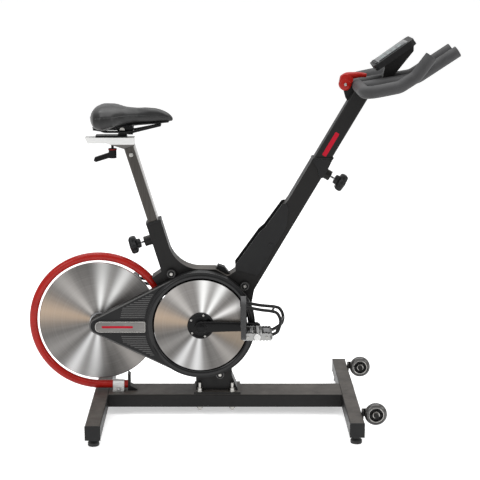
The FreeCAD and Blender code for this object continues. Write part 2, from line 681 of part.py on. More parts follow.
tab_spots = [(-207, 452), (18, 413), (-58, 129)]
cover = Body().pad("XZ_Plane", z.cover_face, z.cover_inner,
                   [belt_outline(bracket, z.cover_radius, wheel_centre, z.cover_hub)])
cover.pad("XZ_Plane", z.cover_rim, z.cover_face, [circle(*bracket, z.cover_radius)])
for spot in tab_spots:
    cover.pad("XZ_Plane", z.cover_inner - 6, z.cover_inner, [circle(*spot, 14)])
    cover.pad("XZ_Plane", z.cover_inner, -z.frame_half, [circle(*spot, 9)])
cover.pocket("XZ_Plane", z.cover_face + z.cover_wall, z.cover_inner + 1, [
    belt_outline(bracket, z.cover_radius - z.cover_wall, wheel_centre, z.cover_hub - z.cover_wall)])
cover.pocket("XZ_Plane", z.cover_rim - 1, z.cover_inner, [circle(*bracket, z.cover_opening)])
cover.pocket("XZ_Plane", z.cover_rim - 1, -z.frame_half + 1, [circle(*spot, 3) for spot in tab_spots])
cover.pad("XZ_Plane", z.cover_face - 1.5, z.cover_face, [rectangle((-439, -289), (276, 304))])
keep("belt_cover", cover.body)
screws = []
for spot in tab_spots:
    shank = rod_y(3, *spot, z.cover_inner - 6, -z.frame_half)
    head = rod_y(4.6, *spot, z.cover_inner - 10, z.cover_inner - 6)
    screws.append(fuse([shank, head]))
keep("cover_screws", group(screws))

# ---------- flywheel guard and brake ----------

guard = Body()
path = guard.sketch("XZ_Plane", 0)
guard_centre = Vector(z.guard_x.value, z.guard_z.value, 0)
sweep_start = math.radians(z.guard_start.value)
low_point = guard_centre - Vector(0, z.guard_radius.value, 0)
path.addGeometry(Part.LineSegment(Vector(z.guard_end_x.value, low_point.y, 0), low_point), False)
path.addGeometry(Part.ArcOfCircle(Part.Circle(guard_centre, Vector(0, 0, 1), z.guard_radius.value),
                                  sweep_start, 1.5 * math.pi), False)
path.addConstraint(Sketcher.Constraint("Coincident", 0, 2, 1, 2))
pin_point(path, 1, 3, (z.guard_x, z.guard_z))
pin_point(path, 0, 1, (z.guard_end_x, z.guard_z - z.guard_radius))
pin_point(path, 0, 2, (z.guard_x, z.guard_z - z.guard_radius))
upper_end = z.guard_z + z.guard_radius * sine(z.guard_start)
guard_rise = path.addConstraint(Sketcher.Constraint("DistanceY", -1, 1, 1, 1, upper_end.value))
path.setExpression(f"Constraints[{guard_rise}]", upper_end.text)
section = guard.sketch("YZ_Plane", z.guard_end_x)
circle(0, z.guard_z - z.guard_radius, z.guard_tube)(section)
circle(0, z.guard_z - z.guard_radius, z.guard_tube - 2)(section)
pipe = guard.body.newObject("PartDesign::AdditivePipe", "Pipe")
pipe.Profile = section
pipe.Spine = (path, ["Edge1", "Edge2"])
keep("flywheel_guard", guard.body)

guard_low = z.guard_z - z.guard_radius
clamp_block = fuse([box((-394, -359), (-30, 30), (z.beam_top, z.beam_top + 4)),
                    box((-394, -359), (-16, 16), (z.beam_top, guard_low)),
                    rod(16, 35, (-394, 0, guard_low), (1, 0, 0))])
clamp_bolts = [rod(6.5, 5, (-376.5, side, z.beam_top + 4), (0, 0, 1)) for side in (-24, 24)]
clamp_strap = cut(clamp_block, [rod(z.guard_tube, 37, (-395, 0, guard_low), (1, 0, 0))])
keep("guard_clamp", group([clamp_strap] + clamp_bolts))
foot_bracket = Body().pad("XZ_Plane", -16, 16, [polygon([
    (-347, z.beam_top), (-318, z.beam_top), (-318, z.beam_top + 4), (-339, 84), (-339, 118), (-347, 124)])])
upper_bracket = Body().pad("XZ_Plane", -z.frame_half, z.frame_half, [polygon([
    on_seat(-222, -half_seat), on_seat(-150, -half_seat), (-278, 428), (-262, 400)])])
guard_rim = rod_y(z.guard_radius + z.guard_tube, z.guard_x, z.guard_z, -z.frame_half - 1, z.frame_half + 1)
keep("guard_brackets", group([foot_bracket.body, cut(upper_bracket.body, [guard_rim])]))


def ring_sector(inner, outer, start, end, low, high):
    """Part of a ring about the flywheel axis, between two angles in degrees."""
    middle = Vector(z.wheel_x.value, low, z.wheel_z.value)
    across = Vector(0, 1, 0)
    shape = Part.makeCylinder(outer, high - low, middle, across)
    shape = shape.cut(Part.makeCylinder(inner, high - low, middle, across))
    centre = Vector(z.wheel_x.value, low - 1, z.wheel_z.value)
    corners = [centre]
    for turn in (start, (start + end) / 2, end):
        spoke = Vector(math.cos(math.radians(turn)), 0, math.sin(math.radians(turn)))
        corners.append(centre + spoke * (outer * 1.3))
    wedge = Part.Face(Part.makePolygon(corners + [centre])).extrude(Vector(0, high - low + 2, 0))
    return shape.common(wedge)


rim = z.wheel_radius.value
caliper_start = 8
caliper_end = 28
caliper = ring_sector(rim + 7, rim + 12, caliper_start, caliper_end, -16, 16)
caliper = caliper.fuse([ring_sector(150, rim + 12, caliper_start, caliper_end, low, low + 4.5)
                        for low in (-16, 11.5)])
pivot = Vector(z.brake_x.value, 0, z.brake_z.value)
pivot_hub = Part.makeCylinder(11, 32, pivot - Vector(0, 16, 0), Vector(0, 1, 0))
hub_bore = Part.makeCylinder(z.brake_pin.value + z.running_gap.value, 40,
                             pivot - Vector(0, 20, 0), Vector(0, 1, 0))
link_steps = ((-9, -16, 4), (9, -16, 4), (-12, -16, 54), (-26, -16, 46), (-9, -16, 4))
link_corners = [pivot + Vector(*step) for step in link_steps]
link = Part.Face(Part.makePolygon(link_corners)).extrude(Vector(0, 32, 0))
keep("brake_arm", plain(caliper.fuse([pivot_hub, link]).cut(hub_bore).removeSplitter()))
magnets = [ring_sector(154, rim - 4, start, start + 8, low, low + 3)
           for low in (-11.5, 8.5) for start in (9, 18)]
keep("brake_magnets", plain(Part.makeCompound(magnets)))

# ---------- frame covers ----------

cable_cover = Body().pad("XZ_Plane", -13, 13, [polygon([
    (-70, 463.5), (-64, 473), (-44, 466), (-24, 440), (-33, 442)])])
keep("cable_cover", cut(cable_cover.body, [main_frame]))
shroud_outline = [(-10, 462), (-12, 476), (62, 580), (78, 594), (131, 668), (141, 670), (148, 655),
                  (146, 602), (58, 444)]
shroud = Body().pad("XZ_Plane", -z.frame_half - 4, -z.frame_half, [polygon(shroud_outline)])
shroud.round_corners("XZ_Plane", [(58, 444), (146, 602), (-12, 476)], 8)
shroud_bolt = rod_y(7, 97, 539, -z.frame_half - 7, -z.frame_half - 4)
bolted_shroud = fuse([shroud.body, shroud_bolt])
keep("head_shrouds", group([bolted_shroud, mirrored(bolted_shroud)]))


# ---------- posts, collars and pull pins ----------

seat_collar = Body().pad("XY_Plane", 0, 7, [
    rectangle((-half_seat - 1, half_seat + 1), (-z.frame_half - 1, z.frame_half + 1)),
    rectangle((-z.seat_post_half - z.post_gap, z.seat_post_half + z.post_gap),
              (-z.seat_post_side - z.post_gap, z.seat_post_side + z.post_gap))])
seat_collar.round_corners("XY_Plane", [(x, y) for x in (-half_seat - 1, half_seat + 1)
                                       for y in (-z.frame_half - 1, z.frame_half + 1)], 6)
place(seat_collar.body, z.seat_top_x, 0, z.seat_top_z, axis=(0, 1, 0), angle=seat_back)
# The head tube ends level, so its collar is a level plate with a cheek down each side, round the pull pin.
head_collar = Body().pad("XZ_Plane", -z.frame_half - 1, z.frame_half + 1, [polygon([
    on_head(-10, -half_head - 1), on_head(20.8, half_head + 1), on_head(27.7, half_head + 1),
    on_head(-3.5, -half_head - 1)])])
post_side = z.bar_post_side + z.post_gap
head_collar.pocket("XZ_Plane", -post_side, post_side, [polygon(head_bore)])
cheek_outline = polygon([(218, 803), (280, 803), (262, 764), (250, 745), (239, 755), (238, 773)])
cheek = Body().pad("XZ_Plane", -z.frame_half - 4, -z.frame_half, [cheek_outline])
cheek.round_corners("XZ_Plane", [(250, 745), (239, 755)], 4)
head_guard = fuse([head_collar.body, cheek.body, mirrored(cheek.body)])
keep("post_collars", group([seat_collar.body, head_guard]))


def pull_pin(half_post, knob_at):
    """A spring pin with its round knob, drawn along its own Z; its tip stops just short of the post."""
    tip = half_post + 0.3
    hub = knob_at - 24
    profile = [(0, tip), (z.pin_radius, tip), (z.pin_radius, hub), (14, hub), (15, knob_at - 11),
               (z.knob_radius - 3, knob_at - 11), (z.knob_radius, knob_at - 8), (z.knob_radius, knob_at + 6),
               (z.knob_radius - 5, knob_at + 11), (0, knob_at + 11)]
    return Body().turn(profile).body


seat_pin = place(pull_pin(z.seat_post_half, 83), *seat_pin_at(0), direction=seat_out)
keep("seat_pin", seat_pin)
head_pin = place(pull_pin(z.bar_post_half, 90), *head_pin_at(0), direction=head_out)
keep("handlebar_pin", head_pin)


def box_post(half, side, low, high):
    """A hollow box post with a closed top, drawn along its own Z."""
    wall = z.steel_wall
    post = Body().pad("XY_Plane", low, high, [rectangle((-half, half), (-side, side))])
    post.round_corners("XY_Plane", [(x, y) for x in (-half, half) for y in (-side, side)], 5)
    bore = rectangle((-half + wall, half - wall), (-side + wall, side - wall))
    post.pocket("XY_Plane", low - 1, high - 8, [bore])
    return post.body


seat_post = box_post(z.seat_post_half, z.seat_post_side, -z.seat_post_below, z.seat_post_above)
keep("seat_post", place(seat_post, z.seat_top_x, 0, z.seat_top_z, axis=(0, 1, 0), angle=seat_back))
bar_post = box_post(z.bar_post_half, z.bar_post_side, -z.bar_post_below, z.bar_post_above)
place(bar_post, z.head_top_x, 0, z.head_top_z, axis=(0, 1, 0), angle=z.head_lean)
lever_tab = Body().pad("XZ_Plane", -3, 3, [polygon([
    (308, 1020), (322, 1036), (338, 1036), (350, 985), on_head(z.bar_post_above - 40, -z.bar_post_half + 1),
    (318, 986)])])
lever_tab.pocket("XZ_Plane", -4, 4, [circle(z.lever_pivot_x, z.lever_pivot_z, 4.04)])
cope = rod_y(z.bar_radius, z.bar_x, z.bar_z, -80, 80)
keep("handlebar_post", cut(fuse([bar_post, lever_tab.body]), [cope]))

# ---------- seat slide ----------

rail_side = Body().pad("XZ_Plane", -z.rail_half, z.rail_half, [polygon([
    (z.rail_rear, z.rail_top), (z.rail_rear + 8, z.rail_bottom), (-401, z.rail_bottom),
    on_seat(z.seat_post_above, -z.seat_post_half), on_seat(z.seat_post_above, z.seat_post_half),
    (z.rail_front, z.rail_bottom), (z.rail_front, z.rail_top)])])
rail_side.pocket("XY_Plane", z.rail_bottom - 25, z.rail_top + 1, [rectangle((-422, -362), (-4.6, 4.6))])
keep("seat_rail", rail_side.body)

carriage_low = z.rail_top + 0.3
carriage = Body().pad("XZ_Plane", -17, 17, [rectangle((-432, -338), (carriage_low, carriage_low + 6))])
carriage.pad("XZ_Plane", -10, 10, [polygon([(-366, carriage_low + 6), (-338, carriage_low + 6),
                                            (-342, z.clamp_z), (-360, z.clamp_z)])])
carriage.pad("XZ_Plane", -12.5, 12.5, [circle(z.clamp_x, z.clamp_z, 7.5)])
carriage.pocket("XZ_Plane", -14, 14, [circle(z.clamp_x, z.clamp_z, 5)])
carriage_stud = rod(4, carriage_low + 1 - 808, (z.lever_x, 0, 808), (0, 0, 1))
keep("seat_carriage", fuse([carriage.body, carriage_stud]))
clamp_pin = rod_y(5, z.clamp_x, z.clamp_z, -19.5, 19.5)
clamp_heads = [rod_y(7.5, z.clamp_x, z.clamp_z, 19.5, 24), rod_y(7.5, z.clamp_x, z.clamp_z, -24, -19.5)]
keep("saddle_pivot_bolt", fuse([clamp_pin] + clamp_heads))

lever_hub = rod(12, 29, (z.lever_x, 0, 804), (0, 0, 1))
stud_hole = rod(4.04, 28, (z.lever_x, 0, 806), (0, 0, 1))
lever_arm = Body().pad("XZ_Plane", -8, 8, [polygon([
    (-383, 822), (-395, 820), (-437, 806), (-440, 797), (-434, 792), (-395, 804), (-383, 806)])])
keep("seat_lever", cut(fuse([lever_hub, lever_arm.body]), [stud_hole]))

jaw = Body().pad("XZ_Plane", 12.8, 19.2, [polygon([
    (-366, 884), (-360, 879), (-326, 879), (-318, 886), (-318, 901), (-326, 906), (-356, 906), (-366, 900)])])
jaw.pocket("XZ_Plane", 12, 20, [circle(z.clamp_x, z.clamp_z, 5.04)])
bridge = box((-335, -318.5), (-12.8, 12.8), (884, 902))
wings = box((-333, -318.5), (-33, 33), (879.5, 883.5))
saddle_clamp = keep("saddle_clamp", fuse([jaw.body, mirrored(jaw.body), bridge, wings]))

rail_route = [(-438, 36, 902), (-404, 29, 887), (-318, 29, 887), (-236, 13, 905)]
rail_wire = plain(bent_tube(rail_route, 3.5, [22, 30]))
keep("saddle_rails", group([rail_wire, mirrored(rail_wire)]))

# Stations along the saddle: x, half width, height of the top, height of the lower edge.
saddle_stations = [(-447, 52, 942, 914), (-436, 88, 957, 899), (-412, 104, 966, 897), (-378, 93, 962, 902),
                   (-340, 58, 952, 908), (-300, 34, 950, 911), (-250, 24, 954, 914), (-212, 19, 948, 918),
                   (-200, 12, 938, 923)]


def saddle_section(x, half, top, bottom):
    """A closed cross-section: a flattened oval, its edge drooping below the middle."""
    middle = (top + bottom) / 2
    points = []
    for step in range(20):
        turn = math.radians(18 * step)
        across = math.copysign(abs(math.cos(turn)) ** 0.75, math.cos(turn))
        up = math.copysign(abs(math.sin(turn)) ** 0.8, math.sin(turn))
        points.append(Vector(x, half * across, middle + (top - bottom) * (0.5 * up)))
    return Part.makePolygon(points + points[:1])


doc.recompute()
rail_shapes = [rail_wire.Shape, rail_wire.Shape.mirror(Vector(0, 0, 0), Vector(0, 1, 0))]
saddle = Part.makeLoft([saddle_section(*station) for station in saddle_stations], True, True)
keep("saddle", plain(saddle.cut(rail_shapes)))
base_sections = []
for x, half, top, bottom in saddle_stations[1:-1]:
    inner = half * 0.72
    tuck = inner * 0.8
    outline = [(-inner, bottom - 1), (inner, bottom - 1), (tuck, bottom - 5), (-tuck, bottom - 5)]
    base_sections.append(Part.makePolygon([Vector(x, *spot) for spot in outline + outline[:1]]))
saddle_base = Part.makeLoft(base_sections, True, True).cut([saddle, saddle_clamp.Shape] + rail_shapes)
keep("saddle_base", plain(saddle_base))

# ---------- handlebar ----------

side_route = [(z.bar_x.value, z.bar_half.value, z.bar_z.value), (448, z.bar_half.value, 1041),
              (492, z.bar_half.value, 1070), (533, z.bar_half.value, 1126)]
outer_route = [(x, -y, height) for x, y, height in reversed(side_route)] + side_route
outer_bar = bent_tube(outer_route, z.bar_radius.value, [40, 40, 45, 45, 40, 40], z.bar_radius.value - 3)
keep("outer_handlebar", plain(outer_bar))
solid_bar = bent_tube(outer_route, z.bar_radius.value, [40, 40, 45, 45, 40, 40])
prongs = []
for side in (-z.prong_side.value, z.prong_side.value):
    route = [(356, side, 1022.5), (521, side, 1050), (638, side, 1128)]
    prongs.append(bent_tube(route, z.prong_radius.value, [60], z.prong_radius.value - 3).cut(solid_bar))
keep("inner_handlebars", plain(Part.makeCompound(prongs)))

tray = Body().pad("XZ_Plane", -40, 40, [polygon([(373.5, 1024), (500, 1045), (500, 1050), (373.5, 1029)])])


def under_console(distance):
    """A point on the console's underside, forward of its centre."""
    return (case_x + cosine(z.console_tilt) * distance, case_z + sine(z.console_tilt) * distance)


tilt = -z.console_tilt
low_side = z.console_thickness * 0.5
case_x = z.console_x + low_side * sine(z.console_tilt)
case_z = z.console_z - low_side * cosine(z.console_tilt)
tray.pad("XZ_Plane", -14, 14, [polygon([
    (424, 1035), (448, 1039), (466, 1062), (516, 1126), under_console(67), under_console(-33)])])
keep("console_bracket", tray.body)
case = Body().pad("XY_Plane", 0, z.console_thickness, [rectangle(
    (-z.console_length * 0.5, z.console_length * 0.5), (-z.console_half, z.console_half))])
case.round_corners("XY_Plane", [(x, y) for x in (-z.console_length * 0.5, z.console_length * 0.5)
                                for y in (-z.console_half, z.console_half)], 16)
keep("console", place(case.body, case_x, 0, case_z, axis=(0, 1, 0), angle=tilt))
screen = Body().pad("XY_Plane", z.console_thickness, z.console_thickness + 1,
                    [rectangle((-52, 52), (-48, 48))])
screen.round_corners("XY_Plane", [(x, y) for x in (-52, 52) for y in (-48, 48)], 6)
keep("console_screen", place(screen.body, case_x, 0, case_z, axis=(0, 1, 0), angle=tilt))

cheeks = [rod_y(19, z.lever_pivot_x, z.lever_pivot_z, low, low + 10.6) for low in (3.4, -14)]
lever_grip = plain(bent_tube([(306, 0, 1040), (322, 0, 1056), (352, 0, 1058), (382, 0, 1051)], 8, [14, 40]))
web = cut(box((300, 326), (-9, 9), (1034, 1054)), [rod_y(22, z.lever_pivot_x, z.lever_pivot_z, -3.4, 3.4)])
pivot_pin = rod_y(4, z.lever_pivot_x, z.lever_pivot_z, -14, 14)
keep("resistance_lever", fuse(cheeks + [lever_grip, web, pivot_pin]))


# ---------- checks and export ----------

doc.recompute()
for item in doc.Objects:
    if "Invalid" in item.State or "Error" in item.State:
        raise ValueError(f"{item.Label} ({item.Name}) did not compute: {item.State}")
for node in nodes:
    if node.Shape.isNull() or not node.Shape.isValid() or not node.Shape.Solids:
        raise ValueError(f"{node.Label} has no valid solid")

os.makedirs("parts", exist_ok=True)
for node in nodes:
    node.Shape.exportStep(f"parts/{node.Label}.step")
    limits = node.Shape.BoundBox
    print(f"{node.Label:26s} solids {len(node.Shape.Solids)}  volume {node.Shape.Volume / 1000:9.1f} cm3  "
          f"x {limits.XMin:.0f}..{limits.XMax:.0f}  y {limits.YMin:.0f}..{limits.YMax:.0f}  "
          f"z {limits.ZMin:.0f}..{limits.ZMax:.0f}")
print(f"{len(nodes)} nodes")
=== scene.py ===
import json
import math

import bmesh
import bpy
from mathutils import Matrix, Vector
from mathutils.bvhtree import BVHTree


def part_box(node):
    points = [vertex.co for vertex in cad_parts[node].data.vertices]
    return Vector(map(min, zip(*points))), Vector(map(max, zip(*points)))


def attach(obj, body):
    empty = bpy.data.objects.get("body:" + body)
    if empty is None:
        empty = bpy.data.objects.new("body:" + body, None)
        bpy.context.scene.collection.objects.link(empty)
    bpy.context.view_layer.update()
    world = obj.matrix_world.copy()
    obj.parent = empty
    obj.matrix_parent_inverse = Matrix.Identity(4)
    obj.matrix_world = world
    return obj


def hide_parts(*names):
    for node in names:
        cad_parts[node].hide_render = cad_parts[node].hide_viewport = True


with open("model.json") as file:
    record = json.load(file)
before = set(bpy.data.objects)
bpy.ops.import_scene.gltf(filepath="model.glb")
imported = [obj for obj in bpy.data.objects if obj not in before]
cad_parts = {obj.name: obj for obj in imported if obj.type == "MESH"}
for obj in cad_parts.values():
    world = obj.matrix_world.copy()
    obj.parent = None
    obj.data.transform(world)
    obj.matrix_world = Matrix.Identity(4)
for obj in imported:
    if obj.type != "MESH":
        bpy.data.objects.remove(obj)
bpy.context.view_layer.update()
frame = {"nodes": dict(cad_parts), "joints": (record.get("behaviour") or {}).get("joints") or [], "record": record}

# Indoor cycling bike, in metres.  X points to the front, Z up, and the drive side is at -Y.

joints = {joint["name"]: joint for joint in frame["joints"]}

ACROSS = Vector((0, 1, 0))
wheel_centre = Vector(joints["flywheel_spin"]["pos_m"])
crank_centre = Vector(joints["crank_spin"]["pos_m"])
wheel_radius = (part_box("flywheel")[1][2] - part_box("flywheel")[0][2]) / 2
wheel_axis = Vector((wheel_centre.x, 0, wheel_centre.z))
crank_axis = Vector((crank_centre.x, 0, crank_centre.z))
disc_radius = (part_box("crank_disc")[1][2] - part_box("crank_disc")[0][2]) / 2
disc_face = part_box("crank_disc")[0][1]
cover_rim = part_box("belt_cover")[0][1]
cover_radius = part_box("belt_cover")[1][0] - crank_centre.x
cover_small_radius = wheel_centre.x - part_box("belt_cover")[0][0]
cover_span = crank_centre.x - wheel_centre.x


# ---------- materials ----------

class Finish:
    """A material being built: its nodes, its shader and the place on the piece."""

    def __init__(self, name, colour, roughness, metallic=0.0):
        self.material = bpy.data.materials.new(name)
        self.material.use_nodes = True
        self.tree = self.material.node_tree
        self.shader = self.tree.nodes["Principled BSDF"]
        self.put("Base Color", (*colour, 1))
        self.put("Roughness", roughness)
        self.put("Metallic", metallic)
        self.place = self.add("ShaderNodeTexCoord").outputs["Object"]
        self.normal = None

    def add(self, kind, links=(), **settings):
        """A node with its settings; links gives (input, output or value) pairs."""
        node = self.tree.nodes.new(kind)
        for key, value in settings.items():
            setattr(node, key, value)
        for key, value in links:
            self.feed(node.inputs[key], value)
        return node

    def feed(self, socket, value):
        if isinstance(value, bpy.types.NodeSocket):
            self.tree.links.new(value, socket)
        else:
            socket.default_value = value

    def put(self, name, value):
        """Give one input of the shader a value or a node's output."""
        self.feed(self.shader.inputs[name], value)

    def maths(self, operation, *values):
        return self.add("ShaderNodeMath", list(enumerate(values)), operation=operation).outputs[0]

    def stretched(self, scale):
        """The place on the piece, scaled apart on each axis."""
        return self.add("ShaderNodeMapping", [("Vector", self.place), ("Scale", scale)]).outputs[0]

    def noise(self, scale, detail=3.0, place=None, roughness=0.55):
        links = [("Vector", place or self.place), ("Scale", scale), ("Detail", detail),
                 ("Roughness", roughness)]
        return self.add("ShaderNodeTexNoise", links).outputs["Fac"]

    def span(self, value, low, high, out_low, out_high):
        """A value mapped from one range to another, and kept inside it."""
        links = [("Value", value), ("From Min", low), ("From Max", high),
                 ("To Min", out_low), ("To Max", out_high)]
        return self.add("ShaderNodeMapRange", links).outputs[0]

    def blend(self, factor, first, second):
        """A colour between two others."""
        node = self.add("ShaderNodeMix", data_type="RGBA")
        self.feed(node.inputs[0], factor)
        for socket, colour in ((node.inputs[6], first), (node.inputs[7], second)):
            self.feed(socket, colour if isinstance(colour, bpy.types.NodeSocket) else (*colour, 1))
        return node.outputs[2]

    def mottled(self, noise, first, second):
        """A colour that wanders between two others."""
        return self.blend(self.span(noise, 0.3, 0.7, 0, 1), first, second)

    def colour(self, value):
        self.put("Base Color", value)
        return self

    def rough(self, noise, low, high):
        """Roughness that wanders between two values."""
        self.put("Roughness", self.span(noise, 0.3, 0.7, low, high))
        return self

    def bump(self, height, strength, distance=0.0005):
        """Relief laid over whatever relief is there."""
        links = [("Strength", strength), ("Distance", distance), ("Height", height)]
        node = self.add("ShaderNodeBump", links)
        if self.normal is not None:
            self.feed(node.inputs["Normal"], self.normal)
        self.normal = node.outputs[0]
        self.put("Normal", self.normal)
        return self

    def worn_edges(self, colour_now, edge_colour, radius, amount):
        """Round the edges for the light, and show a paler colour where they have rubbed."""
        soft = self.add("ShaderNodeBevel", [("Radius", radius)], samples=4).outputs[0]
        self.normal = soft
        self.put("Normal", soft)
        flat = self.add("ShaderNodeNewGeometry").outputs["Normal"]
        match = self.add("ShaderNodeVectorMath", [(0, soft), (1, flat)], operation="DOT_PRODUCT")
        edge = self.span(match.outputs["Value"], 0.999, 0.93, 0.0, amount)
        patchy = self.maths("MULTIPLY", edge, self.span(self.noise(38, 4), 0.42, 0.62, 0.15, 1.0))
        self.colour(self.blend(patchy, colour_now, edge_colour))
        return self

    def glossy(self, coat=0.0, coat_roughness=0.1, specular=0.5):
        self.put("Coat Weight", coat)
        self.put("Coat Roughness", coat_roughness)
        self.put("Specular IOR Level", specular)
        return self


def mixed(colour, factor):
    return tuple(min(1.0, part * factor) for part in colour)


def coated(name, colour, roughness, grain, depth, variation=0.18, edge=None, metallic=0.0, spread=0.06):
    """Paint or moulded plastic: mottled, finely grained, and rubbed pale along the edges."""
    finish = Finish(name, colour, roughness, metallic)
    tone = finish.mottled(finish.noise(9, 5), mixed(colour, 1 - variation), mixed(colour, 1 + variation))
    if edge:
        finish.worn_edges(tone, edge, 0.0016, 0.5)
    else:
        finish.colour(tone)
    finish.rough(finish.noise(55, 4), roughness - spread, roughness + spread)
    finish.bump(finish.noise(grain, 2), depth, 0.0004)
    return finish


def facing(finish, axis, low, high, amount):
    """How far a surface faces along an axis of the bike, as a factor."""
    normal = finish.add("ShaderNodeNewGeometry").outputs["Normal"]
    part = finish.add("ShaderNodeSeparateXYZ", [(0, normal)]).outputs[axis]
    return finish.span(part, low, high, 0, amount)


def paint_finish():
    """Charcoal powder coat with its fine orange peel, paler on what faces up: some dust and a painted highlight
    from the overhead light.
    """
    finish = coated("frame_paint", (0.0075, 0.0072, 0.007), 0.42, 900, 0.14, 0.14, (0.05, 0.048, 0.045))
    patchy = finish.span(finish.noise(22, 6), 0.3, 0.75, 0.5, 1)
    # faces that point up blend to a paler brownish grey: partly dust, partly a painted highlight where the
    # overhead light falls
    dust_and_top_highlight = finish.maths("MULTIPLY", facing(finish, 2, 0.5, 1.0, 0.75), patchy)
    now = finish.shader.inputs["Base Color"].links[0].from_socket
    finish.colour(finish.blend(dust_and_top_highlight, now, (0.105, 0.094, 0.084)))
    return finish.glossy(specular=0.17).material


# Painted reflections on the brushed discs: the directions of the painted highlights, warm painted reflections and
# darker painted wedges, as degrees, sharpness and colour.
PAINTED_REFLECTION_WEDGES = (
    (168, 26, (0.34, 0.26, 0.19)), (345, 20, (0.34, 0.27, 0.20)), (130, 60, (0.34, 0.325, 0.31)),
    (312, 60, (0.36, 0.34, 0.32)), (29, 160, (0.62, 0.61, 0.60)), (212, 90, (0.26, 0.25, 0.24)),
    (61, 110, (0.68, 0.68, 0.67)), (241, 100, (0.74, 0.74, 0.74)), (85, 90, (0.66, 0.66, 0.65)),
    (264, 80, (0.74, 0.74, 0.74)),
)


def brushed_finish(name, centre, painted_wedges, base, roughness, anisotropy):
    """Metal turned in fine rings round an axis across the bike, with fans of painted highlight and painted
    reflection in its colour, and painted shade darkening its lower half.
    """
    finish = Finish(name, base, roughness, 1.0)
    away = finish.add("ShaderNodeVectorMath", [(0, finish.place), (1, (centre.x, 0, centre.z))],
                      operation="SUBTRACT")
    parts = finish.add("ShaderNodeSeparateXYZ", [(0, away.outputs[0])])
    flat = finish.add("ShaderNodeCombineXYZ", [(0, parts.outputs[0]), (2, parts.outputs[2])]).outputs[0]
    heading = finish.add("ShaderNodeVectorMath", [(0, flat)], operation="NORMALIZE").outputs[0]
    reach = finish.add("ShaderNodeVectorMath", [(0, flat)], operation="LENGTH").outputs["Value"]
    rings = finish.add("ShaderNodeCombineXYZ", [(0, reach)]).outputs[0]
    fine = finish.noise(2600, 2, rings)
    broad = finish.noise(160, 3, rings)
    streak = finish.noise(9, 3, heading)
    tone = finish.mottled(streak, mixed(base, 0.78), mixed(base, 1.2))
    # painted highlights and painted reflections: fans of fixed colour in set directions round the centre
    for angle, sharpness, colour in painted_wedges:
        turn = math.radians(angle)
        toward = finish.add("ShaderNodeVectorMath", operation="DOT_PRODUCT",
                            links=[(0, heading), (1, (math.cos(turn), 0, math.sin(turn)))]).outputs["Value"]
        painted_fan = finish.maths("POWER", finish.maths("MAXIMUM", toward, 0.0), sharpness)
        tone = finish.blend(painted_fan, tone, colour)
    tone = finish.blend(finish.span(fine, 0.35, 0.65, 0, 0.22), tone, (0.25, 0.24, 0.23))
    tone = finish.blend(finish.span(broad, 0.4, 0.7, 0, 0.06), tone, (0.6, 0.6, 0.6))
    # painted shade: the lower half of the disc is darkened towards black
    lower = finish.span(parts.outputs[2], -0.03, 0.03, 0.36, 0.0)
    finish.colour(finish.blend(lower, tone, (0.02, 0.02, 0.02)))
    finish.rough(fine, roughness - 0.05, roughness + 0.08)
    finish.bump(fine, 0.12, 0.0001)
    finish.put("Anisotropic", anisotropy)
    tangent = finish.add("ShaderNodeTangent", direction_type="RADIAL", axis="Y").outputs[0]
    finish.put("Tangent", tangent)
    return finish.material


def bare_metal(name, colour, roughness, scratch=(300, 40, 300), edge=None):
    """Machined or plated metal with short drawn scratches."""
    finish = Finish(name, colour, roughness, 1.0)
    drawn = finish.noise(1.0, 3, finish.stretched(scratch))
    tone = finish.mottled(drawn, mixed(colour, 0.8), mixed(colour, 1.12))
    if edge:
        finish.worn_edges(tone, edge, 0.0008, 0.6)
    else:
        finish.colour(tone)
    finish.rough(finish.noise(80, 4), roughness - 0.07, roughness + 0.09)
    finish.bump(drawn, 0.06, 0.0002)
    return finish.material


def post_finish():
    """Grey anodised post, drawn along its length, with a painted highlight making its front face pale."""
    finish = Finish("post_anodised", (0.062, 0.057, 0.053), 0.34, 1.0)
    drawn = finish.noise(1.0, 3, finish.stretched((700, 700, 14)))
    tone = finish.mottled(drawn, (0.052, 0.048, 0.044), (0.072, 0.067, 0.062))
    # painted highlight: faces turned to the front blend to pale grey
    finish.colour(finish.blend(facing(finish, 0, 0.4, 0.8, 0.8), tone, (0.62, 0.61, 0.60)))
    finish.rough(finish.noise(80, 4), 0.27, 0.43)
    finish.bump(drawn, 0.06, 0.0002)
    return finish.material


def rail_finish():
    """Bright silver rail over its darker bracket."""
    finish = Finish("seat_rail_silver", (0.66, 0.66, 0.65), 0.38, 1.0)
    drawn = finish.noise(1.0, 3, finish.stretched((60, 900, 900)))
    height = finish.add("ShaderNodeSeparateXYZ", [(0, finish.place)]).outputs[2]
    tone = finish.mottled(drawn, (0.60, 0.60, 0.59), (0.72, 0.72, 0.71))
    bracket_top = 0.847
    below = finish.span(height, bracket_top - 0.0005, bracket_top + 0.0005, 1, 0)
    finish.colour(finish.blend(below, tone, (0.13, 0.124, 0.118)))
    finish.rough(finish.noise(80, 4), 0.32, 0.46)
    finish.bump(drawn, 0.04, 0.0002)
    return finish.material


def vinyl_finish():
    """Saddle vinyl: a pebbled skin with soft creases and a satin bloom."""
    finish = Finish("saddle_vinyl", (0.014, 0.014, 0.015), 0.42)
    pebbles = finish.add("ShaderNodeTexVoronoi", [("Vector", finish.place), ("Scale", 620.0)],
                         feature="SMOOTH_F1").outputs["Distance"]
    creases = finish.noise(60, 5)
    finish.colour(finish.mottled(finish.noise(14, 5), (0.006, 0.006, 0.0063), (0.013, 0.0128, 0.0127)))
    finish.rough(creases, 0.30, 0.42)
    finish.bump(pebbles, 0.3, 0.0006).bump(creases, 0.12, 0.0015)
    finish.put("Sheen Weight", 0.08)
    finish.put("Sheen Roughness", 0.4)
    finish.put("Specular IOR Level", 0.35)
    return finish.material


